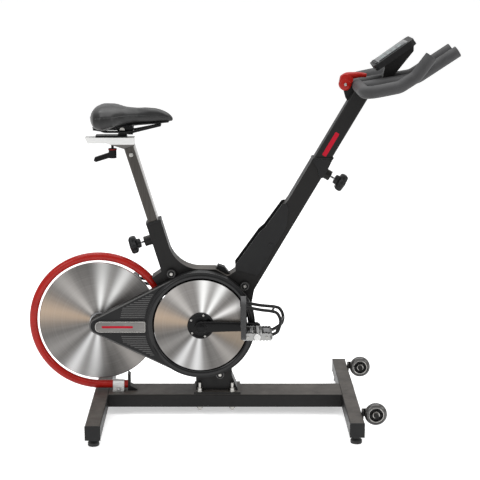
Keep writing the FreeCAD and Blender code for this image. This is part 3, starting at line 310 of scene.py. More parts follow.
def rubber_finish(name, colour, roughness, scale=1400.0, depth=0.35):
    """Matt rubber with a sandy skin."""
    finish = Finish(name, colour, roughness)
    skin = finish.noise(scale, 2)
    wear = finish.noise(18, 5)
    finish.colour(finish.blend(finish.span(wear, 0.35, 0.7, 0, 1), mixed(colour, 0.8), mixed(colour, 1.35)))
    finish.rough(skin, roughness - 0.07, min(1, roughness + 0.09))
    finish.bump(skin, depth, 0.0005).bump(wear, 0.08, 0.002)
    finish.put("Specular IOR Level", 0.4)
    return finish.material


def webbing_finish():
    """Woven strap: crossed ribs with a little fuzz."""
    finish = Finish("strap_web", (0.022, 0.022, 0.023), 0.75)
    threads = []
    for direction, scale, wander in (("Z", 190.0, 0.6), ("X", 260.0, 0.4)):
        links = [("Vector", finish.place), ("Scale", scale), ("Distortion", wander)]
        threads.append(finish.add("ShaderNodeTexWave", links, bands_direction=direction).outputs["Fac"])
    weave = finish.maths("MULTIPLY", *threads)
    crossing = finish.span(weave, 0.1, 0.8, 0, 1)
    finish.colour(finish.blend(crossing, (0.009, 0.009, 0.01), (0.055, 0.054, 0.053)))
    finish.bump(weave, 0.7, 0.0008)
    finish.put("Sheen Weight", 0.25)
    return finish.material


def red_finish():
    """Gloss red over steel, with faint ripple."""
    finish = Finish("guard_red", (0.27, 0.006, 0.003), 0.3)
    finish.colour(finish.mottled(finish.noise(26, 4), (0.24, 0.005, 0.0025), (0.30, 0.008, 0.004)))
    finish.rough(finish.noise(70, 4), 0.22, 0.34)
    finish.bump(finish.noise(260, 2), 0.05, 0.0004)
    return finish.glossy(0.14, 0.08, 0.16).material


def screen_finish():
    """A dark display window, faintly streaked."""
    finish = Finish("screen", (0.05, 0.06, 0.065), 0.18)
    streak = finish.noise(1.0, 4, finish.stretched((20, 60, 20)))
    finish.colour(finish.mottled(streak, (0.02, 0.024, 0.026), (0.045, 0.052, 0.056)))
    finish.rough(finish.noise(40, 4), 0.12, 0.26)
    finish.bump(finish.noise(200, 2), 0.02, 0.0002)
    return finish.glossy(0.6, 0.06).material


def lcd_finish():
    """The pale segments of the display."""
    finish = Finish("lcd_segments", (0.32, 0.36, 0.36), 0.35)
    finish.colour(finish.blend(finish.noise(120, 3), (0.10, 0.12, 0.12), (0.20, 0.23, 0.23)))
    finish.bump(finish.noise(900, 2), 0.05, 0.0002)
    return finish.material


def floor_finish():
    finish = Finish("studio_floor", (0.9, 0.9, 0.9), 0.7)
    finish.colour(finish.blend(finish.noise(1.5, 3), (0.89, 0.89, 0.89), (0.93, 0.93, 0.93)))
    finish.put("Emission Color", (1, 1, 1, 1))
    finish.put("Emission Strength", 0.46)
    return finish.glossy(specular=0.1).material


FRAME_PAINT = paint_finish()
BLACK_PLASTIC = coated("black_plastic", (0.006, 0.006, 0.0063), 0.38, 1300, 0.15, 0.2,
                       (0.04, 0.04, 0.04)).glossy(specular=0.2).material
BLACK_GLOSS = coated("arm_black", (0.003, 0.003, 0.0032), 0.24, 500, 0.03, 0.2,
                     (0.05, 0.05, 0.05)).glossy(specular=0.13).material
# the brushed discs' look, including the painted reflection wedges
BRUSHED_AND_PAINTED_LOOK = (PAINTED_REFLECTION_WEDGES, (0.14, 0.133, 0.127), 0.34, 0.75)
FLYWHEEL_METAL = brushed_finish("flywheel_brushed_painted_reflection", wheel_centre, *BRUSHED_AND_PAINTED_LOOK)
DISC_METAL = brushed_finish("disc_brushed_painted_reflection", crank_centre, *BRUSHED_AND_PAINTED_LOOK)
ZINC = bare_metal("bright_fasteners", (0.40, 0.39, 0.37), 0.28, (400, 400, 90), (0.75, 0.75, 0.75))
STEEL = bare_metal("turned_steel", (0.30, 0.30, 0.305), 0.22)
PULLEY_ALLOY = bare_metal("pulley_alloy", (0.42, 0.42, 0.42), 0.4)
PEDAL_ALLOY = bare_metal("pedal_alloy", (0.46, 0.46, 0.455), 0.24, (500, 120, 500), (0.85, 0.85, 0.85))
SILVER = bare_metal("clamp_silver", (0.66, 0.66, 0.65), 0.38, (60, 900, 900))
RAIL_METAL = rail_finish()
MAGNET = bare_metal("magnet", (0.35, 0.35, 0.37), 0.35)
BADGE_METAL = bare_metal("badge_metal", (0.15, 0.145, 0.14), 0.33, (12, 900, 900))
POST_METAL = post_finish()
# paler satin black for the ribs; on the edge lip and the ears' rims it is a painted highlight line
RIB_SATIN_AND_PAINTED_HIGHLIGHT = coated("rib_satin_and_painted_highlight", (0.05, 0.049, 0.048), 0.3, 700, 0.06).material
GUARD_RED = red_finish()
CAGE_METAL = bare_metal("pedal_cage_alloy", (0.26, 0.26, 0.255), 0.3, (500, 120, 500), (0.7, 0.7, 0.7))
RIM_GLOSS = coated("rim_gloss", (0.003, 0.003, 0.0032), 0.22, 500, 0.03).glossy(specular=0.32).material
LEVER_RED = coated("lever_red", (0.11, 0.006, 0.005), 0.45, 900, 0.08).glossy(specular=0.1).material
LABEL_RED = coated("label_red", (0.33, 0.006, 0.018), 0.45, 900, 0.08).glossy(specular=0.1).material
VINYL = vinyl_finish()
GRIP_RUBBER = rubber_finish("grip_rubber", (0.026, 0.026, 0.027), 0.6)
FOOT_RUBBER = rubber_finish("foot_rubber", (0.014, 0.014, 0.014), 0.6)
TYRE = coated("wheel_tyre", (0.035, 0.033, 0.031), 0.22, 700, 0.06, 0.25).glossy(0.3, 0.1).material
BELT_RUBBER = rubber_finish("belt_rubber", (0.014, 0.014, 0.014), 0.7)
WEBBING = webbing_finish()
SCREEN = screen_finish()
LCD = lcd_finish()

SLOT_MATERIALS = {
    "frame_paint": FRAME_PAINT, "bright_fasteners": ZINC, "black_plastic": BLACK_PLASTIC,
    "foot_rubber": FOOT_RUBBER, "wheel_tyre": TYRE, "guard_red": GUARD_RED, "clamp_silver": SILVER,
    "brushed_aluminium": FLYWHEEL_METAL, "turned_steel": STEEL, "pulley_alloy": PULLEY_ALLOY,
    "arm_black": BLACK_GLOSS, "pedal_alloy": PEDAL_ALLOY, "strap_web": WEBBING, "belt_rubber": BELT_RUBBER,
    "magnet": MAGNET, "post_anodised": POST_METAL, "saddle_vinyl": VINYL, "grip_rubber": GRIP_RUBBER,
    "screen": SCREEN,
}

NODE_MATERIALS = {"saddle_rails": BLACK_GLOSS, "seat_rail": RAIL_METAL, "seat_post": POST_METAL}


def dress_cad_nodes():
    """Give every CAD node the finish of its slot."""
    slot_of = {part["node"]: part["material_slot"] for part in frame["record"]["subparts"]}
    for name, node in frame["nodes"].items():
        node.data.materials.clear()
        node.data.materials.append(NODE_MATERIALS.get(name, SLOT_MATERIALS[slot_of[name]]))


# ---------- mesh helpers ----------

def finish_piece(piece, material, body, nodes=()):
    """Give a piece its material and body, and hide the CAD nodes it stands for."""
    piece.data.materials.append(material)
    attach(piece, body)
    if nodes:
        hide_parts(*nodes)
    return piece


def object_from(shape, name, smooth_angle=40):
    """A mesh object from a bmesh, smooth where its faces meet gently."""
    bmesh.ops.recalc_face_normals(shape, faces=shape.faces)
    mesh = bpy.data.meshes.new(name)
    shape.to_mesh(mesh)
    shape.free()
    for polygon in mesh.polygons:
        polygon.use_smooth = True
    mesh.set_sharp_from_angle(angle=math.radians(smooth_angle))
    piece = bpy.data.objects.new(name, mesh)
    bpy.context.scene.collection.objects.link(piece)
    return piece


def corners_of(node):
    """The low and high corners of a CAD node's box."""
    return [Vector(corner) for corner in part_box(node)]


def frame_of(axis):
    """Two directions at right angles to an axis."""
    axis = Vector(axis).normalized()
    side = axis.cross(Vector((0, 0, 1)))
    if side.length < 0.1:
        side = axis.cross(Vector((1, 0, 0)))
    side.normalize()
    return axis, side, axis.cross(side)


def join_rings(shape, pairs, steps):
    """Faces between pairs of rings that have the same number of points."""
    for first, second in pairs:
        for step in range(steps):
            following = (step + 1) % steps
            shape.faces.new((first[step], first[following], second[following], second[step]))


def add_lathe(shape, profile, centre, axis, steps=64, ripple=None):
    """Turn (radius, distance) points about an axis; ripple(angle, radius) may change a radius."""
    axis, side, up = frame_of(axis)
    rings = []
    for radius, along in profile:
        middle = Vector(centre) + axis * along
        if radius < 1e-6:
            rings.append([shape.verts.new(middle)])
            continue
        ring = []
        for step in range(steps):
            angle = 2 * math.pi * step / steps
            size = ripple(angle, radius) if ripple else radius
            ring.append(shape.verts.new(middle + (side * math.cos(angle) + up * math.sin(angle)) * size))
        rings.append(ring)
    for first, second in zip(rings, rings[1:]):
        for step in range(steps):
            following = (step + 1) % steps
            corners = [first[step % len(first)], first[following % len(first)],
                       second[following % len(second)], second[step % len(second)]]
            corners = list(dict.fromkeys(corners))
            if len(corners) > 2:
                shape.faces.new(corners)
    return shape


def lathe(name, profile, centre, axis, steps=64, ripple=None):
    return object_from(add_lathe(bmesh.new(), profile, centre, axis, steps, ripple), name)


def closed_ring(points):
    """A profile that comes back to its start, for a ring."""
    return list(points) + [points[0]]


def rounded(corners, radius, steps=5):
    """A flat outline with its corners rounded; a radius may be given for each corner."""
    count = len(corners)
    radii = radius if isinstance(radius, (list, tuple)) else [radius] * count
    points = []
    for index in range(count):
        before, here, after = (Vector(corners[(index + shift) % count]) for shift in (-1, 0, 1))
        size = min(radii[index], 0.49 * (before - here).length, 0.49 * (after - here).length)
        start = here + (before - here).normalized() * size
        end = here + (after - here).normalized() * size
        for step in range(steps + 1):
            part = step / steps
            points.append(start * (1 - part) ** 2 + here * (2 * part * (1 - part)) + end * part ** 2)
    return points


def add_slab(shape, outline, low, high, bevel=0.0, place=None):
    """Raise a flat (x, z) outline between two places on Y, and bevel both its rims."""
    walls = []
    for level in (low, high):
        walls.append([shape.verts.new((point[0], level, point[1])) for point in outline])
    count = len(outline)
    faces = [shape.faces.new(walls[0]), shape.faces.new(list(reversed(walls[1])))]
    near, far = walls
    for index in range(count):
        following = (index + 1) % count
        faces.append(shape.faces.new((near[index], far[index], far[following], near[following])))
    made = set(walls[0] + walls[1])
    if bevel:
        rims = [edge for edge in shape.edges if edge.verts[0] in made and edge.verts[1] in made
                and (edge.verts[0] in walls[0]) == (edge.verts[1] in walls[0])]
        result = bmesh.ops.bevel(shape, geom=rims, offset=bevel, segments=3, affect="EDGES", profile=0.6,
                                 clamp_overlap=True)
        made = {vertex for vertex in made if vertex.is_valid} | set(result["verts"])
    if place is not None:
        bmesh.ops.transform(shape, matrix=place, verts=[vertex for vertex in made if vertex.is_valid])
    return shape


def slab(name, outline, low, high, bevel=0.0, place=None):
    return object_from(add_slab(bmesh.new(), outline, low, high, bevel, place), name, 35)


def block_outline(low, high, radius):
    """A rounded rectangle between two (x, z) corners."""
    return rounded([(low[0], low[1]), (high[0], low[1]), (high[0], high[1]), (low[0], high[1])], radius)


def smooth_path(points, steps=8):
    """A path through points, curved gently between them."""
    points = [Vector(point) for point in points]
    padded = [points[0] * 2 - points[1]] + points + [points[-1] * 2 - points[-2]]
    path = []
    for index in range(1, len(padded) - 2):
        before, start, end, after = padded[index - 1:index + 3]
        for step in range(steps):
            share = step / steps
            path.append(0.5 * ((2 * start) + (end - before) * share
                               + (2 * before - 5 * start + 4 * end - after) * share ** 2
                               + (3 * start - before - 3 * end + after) * share ** 3))
    path.append(points[-1])
    return path


def add_tube(shape, path, radius, steps=12, closed=False, flat=1.0):
    """A round bar along a path; radius may be a function of the share of the way along."""
    path = [Vector(point) for point in path]
    count = len(path)
    rings = []
    side = None
    for index, point in enumerate(path):
        if closed:
            heading = (path[(index + 1) % count] - path[index - 1]).normalized()
        else:
            heading = (path[min(index + 1, count - 1)] - path[max(index - 1, 0)]).normalized()
        if side is None:
            side = frame_of(heading)[1]
        side = (side - heading * side.dot(heading)).normalized()
        up = heading.cross(side)
        size = radius(index / (count - 1)) if callable(radius) else radius
        ring = []
        for step in range(steps):
            angle = 2 * math.pi * step / steps
            across = side * (math.cos(angle) * size)
            ring.append(shape.verts.new(point + across + up * (math.sin(angle) * size * flat)))
        rings.append(ring)
    pairs = list(zip(rings, rings[1:]))
    if closed:
        pairs.append((rings[-1], rings[0]))
    join_rings(shape, pairs, steps)
    if not closed:
        shape.faces.new(list(reversed(rings[0])))
        shape.faces.new(rings[-1])
    return shape


def tube(name, path, radius, steps=12, closed=False, flat=1.0):
    return object_from(add_tube(bmesh.new(), path, radius, steps, closed, flat), name, 50)


def end_of(node, direction):
    """The middle of the face where a CAD node ends in a direction."""
    direction = Vector(direction).normalized()
    spots = [vertex.co.copy() for vertex in frame["nodes"][node].data.vertices]
    furthest = max(spot.dot(direction) for spot in spots)
    face = [spot for spot in spots if spot.dot(direction) > furthest - 0.0005]
    low = Vector([min(spot[axis] for spot in face) for axis in range(3)])
    high = Vector([max(spot[axis] for spot in face) for axis in range(3)])
    return (low + high) / 2


# ---------- flywheel and crank ----------

def metal_discs():
    """The flywheel with broken edges and the square-edged crank disc, both turned in fine rings."""
    low, high = (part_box("flywheel")[index][1] for index in (0, 1))
    hub = wheel_radius * 0.108
    rim = [(hub, low), (wheel_radius * 0.985, low), (wheel_radius * 0.995, low + 0.0006),
           (wheel_radius, low + 0.002), (wheel_radius, high - 0.002), (wheel_radius * 0.995, high - 0.0006),
           (wheel_radius * 0.985, high), (hub, high)]
    flywheel = lathe("flywheel_disc", closed_ring(rim), wheel_axis, ACROSS, 220)
    finish_piece(flywheel, FLYWHEEL_METAL, "flywheel_set", ["flywheel"])
    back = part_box("crank_disc")[1][1]
    bore = 0.0105
    face = [(bore, disc_face), (disc_radius, disc_face), (disc_radius, back), (bore, back)]
    disc = lathe("crank_cover_disc", closed_ring(face), crank_axis, ACROSS, 200)
    finish_piece(disc, DISC_METAL, "crank", ["crank_disc"])
    for side, sign in (("right", -1), ("left", 1)):
        face_y = low if sign < 0 else high
        profile = [(hub * 0.5, face_y + sign * 0.001), (hub * 0.5, face_y + sign * 0.006),
                   (hub * 1.25, face_y + sign * 0.006), (hub * 1.45, face_y + sign * 0.0045),
                   (hub * 1.5, face_y), (hub * 0.5, face_y)]
        collar = lathe(f"flywheel_hub_washer_{side}", closed_ring(profile), wheel_axis, ACROSS, 80)
        finish_piece(collar, STEEL, "flywheel_set")


def socket_screw(shape, centre, outward, radius, height):
    """A round-headed screw with a hexagon socket."""
    profile = [(radius, 0), (radius, height * 0.55), (radius * 0.86, height * 0.9), (radius * 0.62, height)]
    add_lathe(shape, profile, centre, outward, 20)
    socket = [(radius * 0.62, height), (radius * 0.5, height), (radius * 0.48, height * 0.45),
              (0, height * 0.4)]
    add_lathe(shape, socket, centre, outward, 6)


def crank_group():
    """Spider, its screws, the arms with their shaped backs, and the end caps."""
    spider_low, spider_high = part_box("crank_spider")
    radius = (spider_high[2] - spider_low[2]) / 2
    face = spider_low[1]
    back = spider_high[1]
    profile = [(0.012, back), (radius, back), (radius, face + 0.002), (radius - 0.0015, face + 0.0004),
               (radius * 0.86, face), (radius * 0.82, face + 0.0008), (radius * 0.55, face + 0.0008),
               (radius * 0.5, face), (0.012, face)]
    spider = lathe("crank_spider_plate", closed_ring(profile), crank_axis, ACROSS, 96)
    finish_piece(spider, BLACK_GLOSS, "crank", ["crank_spider"])
    screws = bmesh.new()
    for step in range(5):
        angle = math.radians(72 * step + 4)
        spot = crank_centre + Vector((math.cos(angle), 0, math.sin(angle))) * (radius * 0.84)
        socket_screw(screws, (spot.x, face + 0.0005, spot.z), -ACROSS, 0.0036, 0.0028)
    heads = object_from(screws, "spider_screw_heads")
    finish_piece(heads, ZINC, "crank", ["spider_bolts"])
    for side, sign in (("right", -1), ("left", 1)):
        crank_arm(side, sign)


def arm_section(share, hub, eye):
    """Half the arm's height at a share of the way from spindle to pedal."""
    return hub + (eye - hub) * share ** 0.8


def crank_arm(side, sign):
    """One arm: a round boss at each end and a tapering, crowned bar between them."""
    low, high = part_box(f"crank_arm_{side}")
    inner, outer = (high[1], low[1]) if sign < 0 else (low[1], high[1])
    eye_at = Vector(joints[f"pedal_spin_{side}"]["pos_m"])
    hub_size = (high[2] - low[2]) / 2
    eye_size = hub_size * 0.72
    length = eye_at.x - crank_centre.x
    shape = bmesh.new()
    steps = 28
    points_round = 20
    rings = []
    deep = abs(outer - inner)
    for index in range(steps + 1):
        share = index / steps
        half = arm_section(share, hub_size * 0.97, eye_size * 0.95)
        crown = outer - sign * deep * (0.10 + 0.30 * math.sin(math.pi * share) ** 0.8)
        root = inner + sign * deep * 0.12
        middle_x = crank_centre.x + length * share
        ring = []
        for step in range(points_round):
            angle = 2 * math.pi * step / points_round
            across = math.copysign(abs(math.cos(angle)) ** 0.55, math.cos(angle))
            up = math.copysign(abs(math.sin(angle)) ** 0.75, math.sin(angle))
            y = (crown + root) / 2 + (crown - root) / 2 * across
            ring.append(shape.verts.new((middle_x, y, crank_centre.z + half * up)))
        rings.append(ring)
    join_rings(shape, zip(rings, rings[1:]), points_round)
    shape.faces.new(rings[0])
    shape.faces.new(list(reversed(rings[-1])))
    for centre, size in ((crank_centre, hub_size), (eye_at, eye_size)):
        profile = [(0, inner), (size, inner), (size, outer - sign * 0.004),
                   (size - 0.0012, outer - sign * 0.0012), (size - 0.004, outer), (size * 0.62, outer),
                   (size * 0.6, outer - sign * 0.0015), (0, outer - sign * 0.0015)]
        add_lathe(shape, profile, (centre.x, 0, centre.z), ACROSS, 56)
    arm = object_from(shape, f"crank_arm_{side}_forged", 50)
    finish_piece(arm, BLACK_GLOSS, "crank", [f"crank_arm_{side}"])
    dome = [(hub_size * 0.58, 0), (hub_size * 0.58, 0.0006), (hub_size * 0.48, 0.0016), (0, 0.0022)]
    spindle_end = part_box("crank_spindle")[0 if sign < 0 else 1][1]
    cap_at = (crank_centre.x, spindle_end + sign * 0.0004, crank_centre.z)
    cap = lathe(f"crank_cap_{side}", dome, cap_at, ACROSS * sign)
    finish_piece(cap, BLACK_GLOSS, "crank")


# ---------- pedals ----------

def pedal(side):
    """A two-sided pedal: barrel, toothed cage plates, clip jaws and tension springs."""
    node = f"pedal_{side}"
    low, high = corners_of(node)
    axle = Vector(joints[f"pedal_spin_{side}"]["pos_m"])
    body = f"pedal_{side}_set"
    length = high.x - low.x
    barrel = [(0, low.y + 0.001), (0.010, low.y + 0.001), (0.0125, low.y + 0.006), (0.0105, low.y + 0.016),
              (0.0115, axle.y), (0.0105, high.y - 0.016), (0.0125, high.y - 0.006), (0.010, high.y - 0.001),
              (0, high.y - 0.001)]
    core = lathe(f"pedal_barrel_{side}", barrel, (axle.x, 0, axle.z), ACROSS, 48)
    finish_piece(core, PEDAL_ALLOY, body, [node])
    plates = bmesh.new()
    half = (high.z - low.z) / 2
    for edge_y in (low.y + 0.004, high.y - 0.0075):
        outline = []
        teeth = 9
        for index in range(teeth * 2 + 1):
            x = low.x + 0.006 + (length - 0.012) * index / (teeth * 2)
            outline.append((x, axle.z + half - (0.0 if index % 2 else 0.0028)))
        lower = [(x, 2 * axle.z - z) for x, z in reversed(outline)]
        add_slab(plates, outline + lower, edge_y, edge_y + 0.0035, 0.0006)
    for edge_x in (low.x + 0.003, high.x - 0.010):
        outline = block_outline((edge_x, axle.z - half * 0.55), (edge_x + 0.007, axle.z + half * 0.55),
                                0.003)
        add_slab(plates, outline, low.y + 0.004, high.y - 0.004, 0.0008)
    cage = object_from(plates, f"pedal_cage_plates_{side}", 30)
    finish_piece(cage, CAGE_METAL, body)
    clips = bmesh.new()
    for facing in (-1, 1):
        near = axle.x + facing * 0.014
        far = axle.x + facing * 0.039
        for tilt in (-1, 1):
            outline = rounded([(near, axle.z + tilt * 0.002), (far, axle.z + tilt * 0.003),
                               (far, axle.z + tilt * 0.010), (near + facing * 0.006, axle.z + tilt * 0.0112),
                               (near, axle.z + tilt * 0.007)], 0.0018, 3)
            if tilt * facing < 0:
                outline = list(reversed(outline))
            add_slab(clips, outline, axle.y - 0.021, axle.y + 0.021, 0.0009)
    jaws = object_from(clips, f"pedal_clip_jaws_{side}", 30)
    finish_piece(jaws, STEEL, body)
    springs = bmesh.new()
    for facing in (-1, 1):
        coil = []
        for step in range(97):
            turn = 2 * math.pi * step / 16
            coil.append((axle.x + facing * 0.024 + 0.0056 * math.cos(turn),
                         axle.y - 0.030 + 0.010 * step / 96, axle.z + 0.0056 * math.sin(turn)))
        add_tube(springs, coil, 0.0009, 8)
        socket_screw(springs, (axle.x + facing * 0.028, low.y + 0.004, axle.z), -ACROSS, 0.0036, 0.0026)
    finish_piece(object_from(springs, f"pedal_springs_{side}"), ZINC, body)


def toe_cage(side, sign):
    """The toe cage: two moulded hoops joined over the toe and in front, bolted to the pedal."""
    low, high = corners_of(f"toe_cage_{side}")
    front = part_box(f"pedal_{side}")[1][0]
    axle = Vector(joints[f"pedal_spin_{side}"]["pos_m"])
    body = f"pedal_{side}_set"
    shape = bmesh.new()
    spots = ((-0.097, 0.091), (-0.086, 0.089), (-0.040, 0.080), (0.004, 0.0755), (0.021, 0.068),
             (0.030, 0.046), (0.026, 0.024), (0.010, 0.011), (-0.006, 0.002))
    middle = (low.y + high.y) / 2
    reach = (high.y - low.y) / 2 - 0.0045
    for edge in (-1, 1):
        hoop = []
        for index, (forward, up) in enumerate(spots):
            if edge == sign and 2 < index < 7:
                forward -= 0.010
            hoop.append((front + forward, middle + edge * reach, axle.z + up))
        add_tube(shape, smooth_path(hoop, 7), 0.0048, 14)
    for index in (0, 3, 5, 7):
        forward, up = spots[index]
        back = 0.010 if 2 < index < 7 else 0.0
        rung = [(front + forward - back, middle + sign * reach, axle.z + up),
                (front + forward, middle - sign * reach, axle.z + up)]
        add_tube(shape, rung, 0.0033, 12)
    finish_piece(object_from(shape, f"toe_cage_hoops_{side}"), BLACK_PLASTIC, body,
                 [f"toe_cage_{side}"])
    bolts = bmesh.new()
    for y in (axle.y - 0.014, axle.y + 0.014):
        socket_screw(bolts, (front + 0.0003, y, axle.z + 0.004), (1, 0, -0.1), 0.0034, 0.0024)
    finish_piece(object_from(bolts, f"toe_cage_bolts_{side}"), ZINC, body)


def toe_strap(side, sign):
    """The webbing strap over the toe, with its buckle."""
    low, high = corners_of(f"toe_strap_{side}")
    body = f"pedal_{side}_set"
    middle = (low + high) / 2
    half = (high.y - low.y) / 2 - 0.0008
    crest = high.z - 0.002
    rise = [(0.9, low.z + 0.001), (1, low.z + 0.012), (0.985, low.z + 0.045), (0.97, crest - 0.022),
            (0.82, crest - 0.005), (0.35, crest)]
    stops = [(middle.y - half * share, height) for share, height in rise]
    stops += [(middle.y + half * share, height) for share, height in reversed(rise)]
    route = smooth_path(stops, 6)
    shape = bmesh.new()
    rows = []
    for index, spot in enumerate(route):
        before = route[max(index - 1, 0)]
        after = route[min(index + 1, len(route) - 1)]
        heading = (Vector(after) - Vector(before)).normalized()
        outward = Vector((heading[1], -heading[0]))
        row = []
        for x, lift in ((middle.x - 0.0078, 0), (middle.x + 0.0078, 0), (middle.x + 0.0078, 0.0016),
                        (middle.x - 0.0078, 0.0016)):
            row.append(shape.verts.new((x, spot[0] - outward[0] * lift, spot[1] - outward[1] * lift)))
        rows.append(row)
    join_rings(shape, zip(rows, rows[1:]), 4)
    shape.faces.new(rows[0])
    shape.faces.new(list(reversed(rows[-1])))
    finish_piece(object_from(shape, f"toe_strap_webbing_{side}", 30), WEBBING, body,
                 [f"toe_strap_{side}"])
    outer_y = middle.y + sign * (half - 0.0005)
    outline = block_outline((middle.x - 0.0095, low.z + 0.030), (middle.x + 0.0095, low.z + 0.040), 0.002)
    buckle = bmesh.new()
    add_slab(buckle, outline, outer_y - 0.0015, outer_y + 0.0015, 0.0006)
    finish_piece(object_from(buckle, f"toe_strap_buckle_{side}"), BLACK_GLOSS, body)


# ---------- belt cover ----------

def cover_half_height(x):
    """Half the height of the tapered cover at a place along it."""
    slope = (cover_radius - cover_small_radius) / cover_span
    level = math.sqrt(1 - slope * slope)
    return (cover_small_radius + slope * (x - wheel_centre.x)) / level


def cover_outline(inset, steps=72):
    """The cover's own outline, drawn in by an inset: two arcs and the lines that touch them."""
    lean = math.acos((cover_radius - cover_small_radius) / cover_span)
    points = []
    for step in range(steps + 1):
        angle = (math.pi - lean) - (2 * math.pi - 2 * lean) * step / steps
        points.append((crank_centre.x + (cover_radius - inset) * math.cos(angle),
                       crank_centre.z + (cover_radius - inset) * math.sin(angle)))
    for step in range(17):
        angle = math.pi + lean - 2 * lean * step / 16
        points.append((wheel_centre.x + (cover_small_radius - inset) * math.cos(angle),
                       wheel_centre.z + (cover_small_radius - inset) * math.sin(angle)))
    return points


def cover_trim():
    """The cover's rounded rim round the disc, its edge lip, the ears' rims, the ribs and the badge."""
    inner = disc_radius + 0.0015
    outer = cover_radius - 0.0006
    middle = (inner + outer) / 2
    half = (outer - inner) / 2
    crest = cover_rim - 0.0015
    rim = []
    for step in range(17):
        angle = math.pi * (1 - step / 16)
        rim.append((middle + half * math.cos(angle), crest + half - half * math.sin(angle)))
    rim += [(outer, crest + half + 0.004), (inner, crest + half + 0.004)]
    ring = lathe("cover_rim", closed_ring(rim), crank_axis, ACROSS, 160)
    finish_piece(ring, RIM_GLOSS, "root")
    plate_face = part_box("belt_cover")[0][1] + 0.006
    lip_path = [(x, plate_face + 0.0012, z) for x, z in cover_outline(0.0022)]
    # the lip's paler satin colour is a painted highlight line along the cover's edge
    lip = tube("cover_edge_lip", lip_path, 0.0024, 10, closed=True)
    finish_piece(lip, RIB_SATIN_AND_PAINTED_HIGHLIGHT, "root")
    # the ears' rims carry the same painted highlight colour
    ears = bmesh.new()
    for spot in screw_spots():
        around = []
        for step in range(24):
            angle = 2 * math.pi * step / 24
            around.append((spot.x + 0.0115 * math.cos(angle), spot.y + 0.0004,
                           spot.z + 0.0115 * math.sin(angle)))
        add_tube(ears, around, 0.0014, 8, closed=True)
    finish_piece(object_from(ears, "cover_ear_rims"), RIB_SATIN_AND_PAINTED_HIGHLIGHT, "root")
    cover_ribs(plate_face)
    badge(plate_face)


def screw_spots():
    """Where each of the cover's screws meets its ear."""
    spots = []
    for vertex in frame["nodes"]["cover_screws"].data.vertices:
        for group in spots:
            if (Vector((vertex.co.x, 0, vertex.co.z)) - group[0]).length < 0.03:
                group[1].append(vertex.co)
                break
        else:
            spots.append((Vector((vertex.co.x, 0, vertex.co.z)), [vertex.co]))
    places = []
    for group in spots:
        points = group[1]
        middle = sum(points, Vector()) / len(points)
        places.append(Vector((middle.x, min(point.y for point in points) + 0.004, middle.z)))
    return places


def cover_ribs(face):
    """Fine level ribs on the tapered part, clear of the badge."""
    shape = bmesh.new()
    pitch = 0.006
    clear = 0.026
    for index in range(-24, 25):
        z = crank_centre.z + index * pitch
        if abs(z - middle_of_badge().z) < clear:
            continue
        reach = math.sqrt(max((cover_radius + 0.006) ** 2 - (z - crank_centre.z) ** 2, 0))
        end = crank_centre.x - reach
        start = end - 0.075
        while cover_half_height(start) - 0.012 < abs(z - crank_centre.z) and start < end:
            start += 0.002
        if end - start < 0.008:
            continue
        outline = block_outline((start, z - 0.0011), (end, z + 0.0011), 0.001)
        add_slab(shape, outline, face - 0.0011, face + 0.001, 0.0004)
    finish_piece(object_from(shape, "cover_ribs", 30), RIB_SATIN_AND_PAINTED_HIGHLIGHT, "root")


def middle_of_badge():
    return Vector((wheel_centre.x + 0.070, 0, wheel_centre.z - 0.002))


def badge(face):
    """The slot on the cover: a raised frame, a brushed plate and a plain red stripe."""
    middle = middle_of_badge()
    length = 0.150
    tall = 0.030
    corner_radii = [0.002, 0.002, 0.015, 0.015]

    def slot_outline(grow):
        corners = [(middle.x + length / 2 + grow, middle.z - tall / 2 - grow),
                   (middle.x + length / 2 + grow, middle.z + tall / 2 + grow),
                   (middle.x - length / 2 - grow, middle.z + tall / 2 + grow),
                   (middle.x - length / 2 - grow, middle.z - tall / 2 - grow)]
        return rounded(corners, [radius + grow for radius in corner_radii], 10)

    frame_shape = bmesh.new()
    add_slab(frame_shape, slot_outline(0.006), face - 0.0022, face + 0.001, 0.0009)
    finish_piece(object_from(frame_shape, "badge_surround"), BLACK_PLASTIC, "root")
    edge_path = [(x, face - 0.0026, z) for x, z in slot_outline(0.0012)]
    edge = tube("badge_bright_edge", edge_path, 0.0011, 8, closed=True)
    finish_piece(edge, ZINC, "root")
    plate = slab("badge_plate", slot_outline(0.0), face - 0.0032, face - 0.0015, 0.0004)
    finish_piece(plate, BADGE_METAL, "root")
    stripe = block_outline((middle.x - length * 0.38, middle.z - 0.0035),
                           (middle.x + length * 0.26, middle.z + 0.0035), 0.0034)
    red = slab("badge_stripe", stripe, face - 0.0037, face - 0.0030, 0.0002)
    finish_piece(red, LABEL_RED, "root")


# ---------- knobs ----------

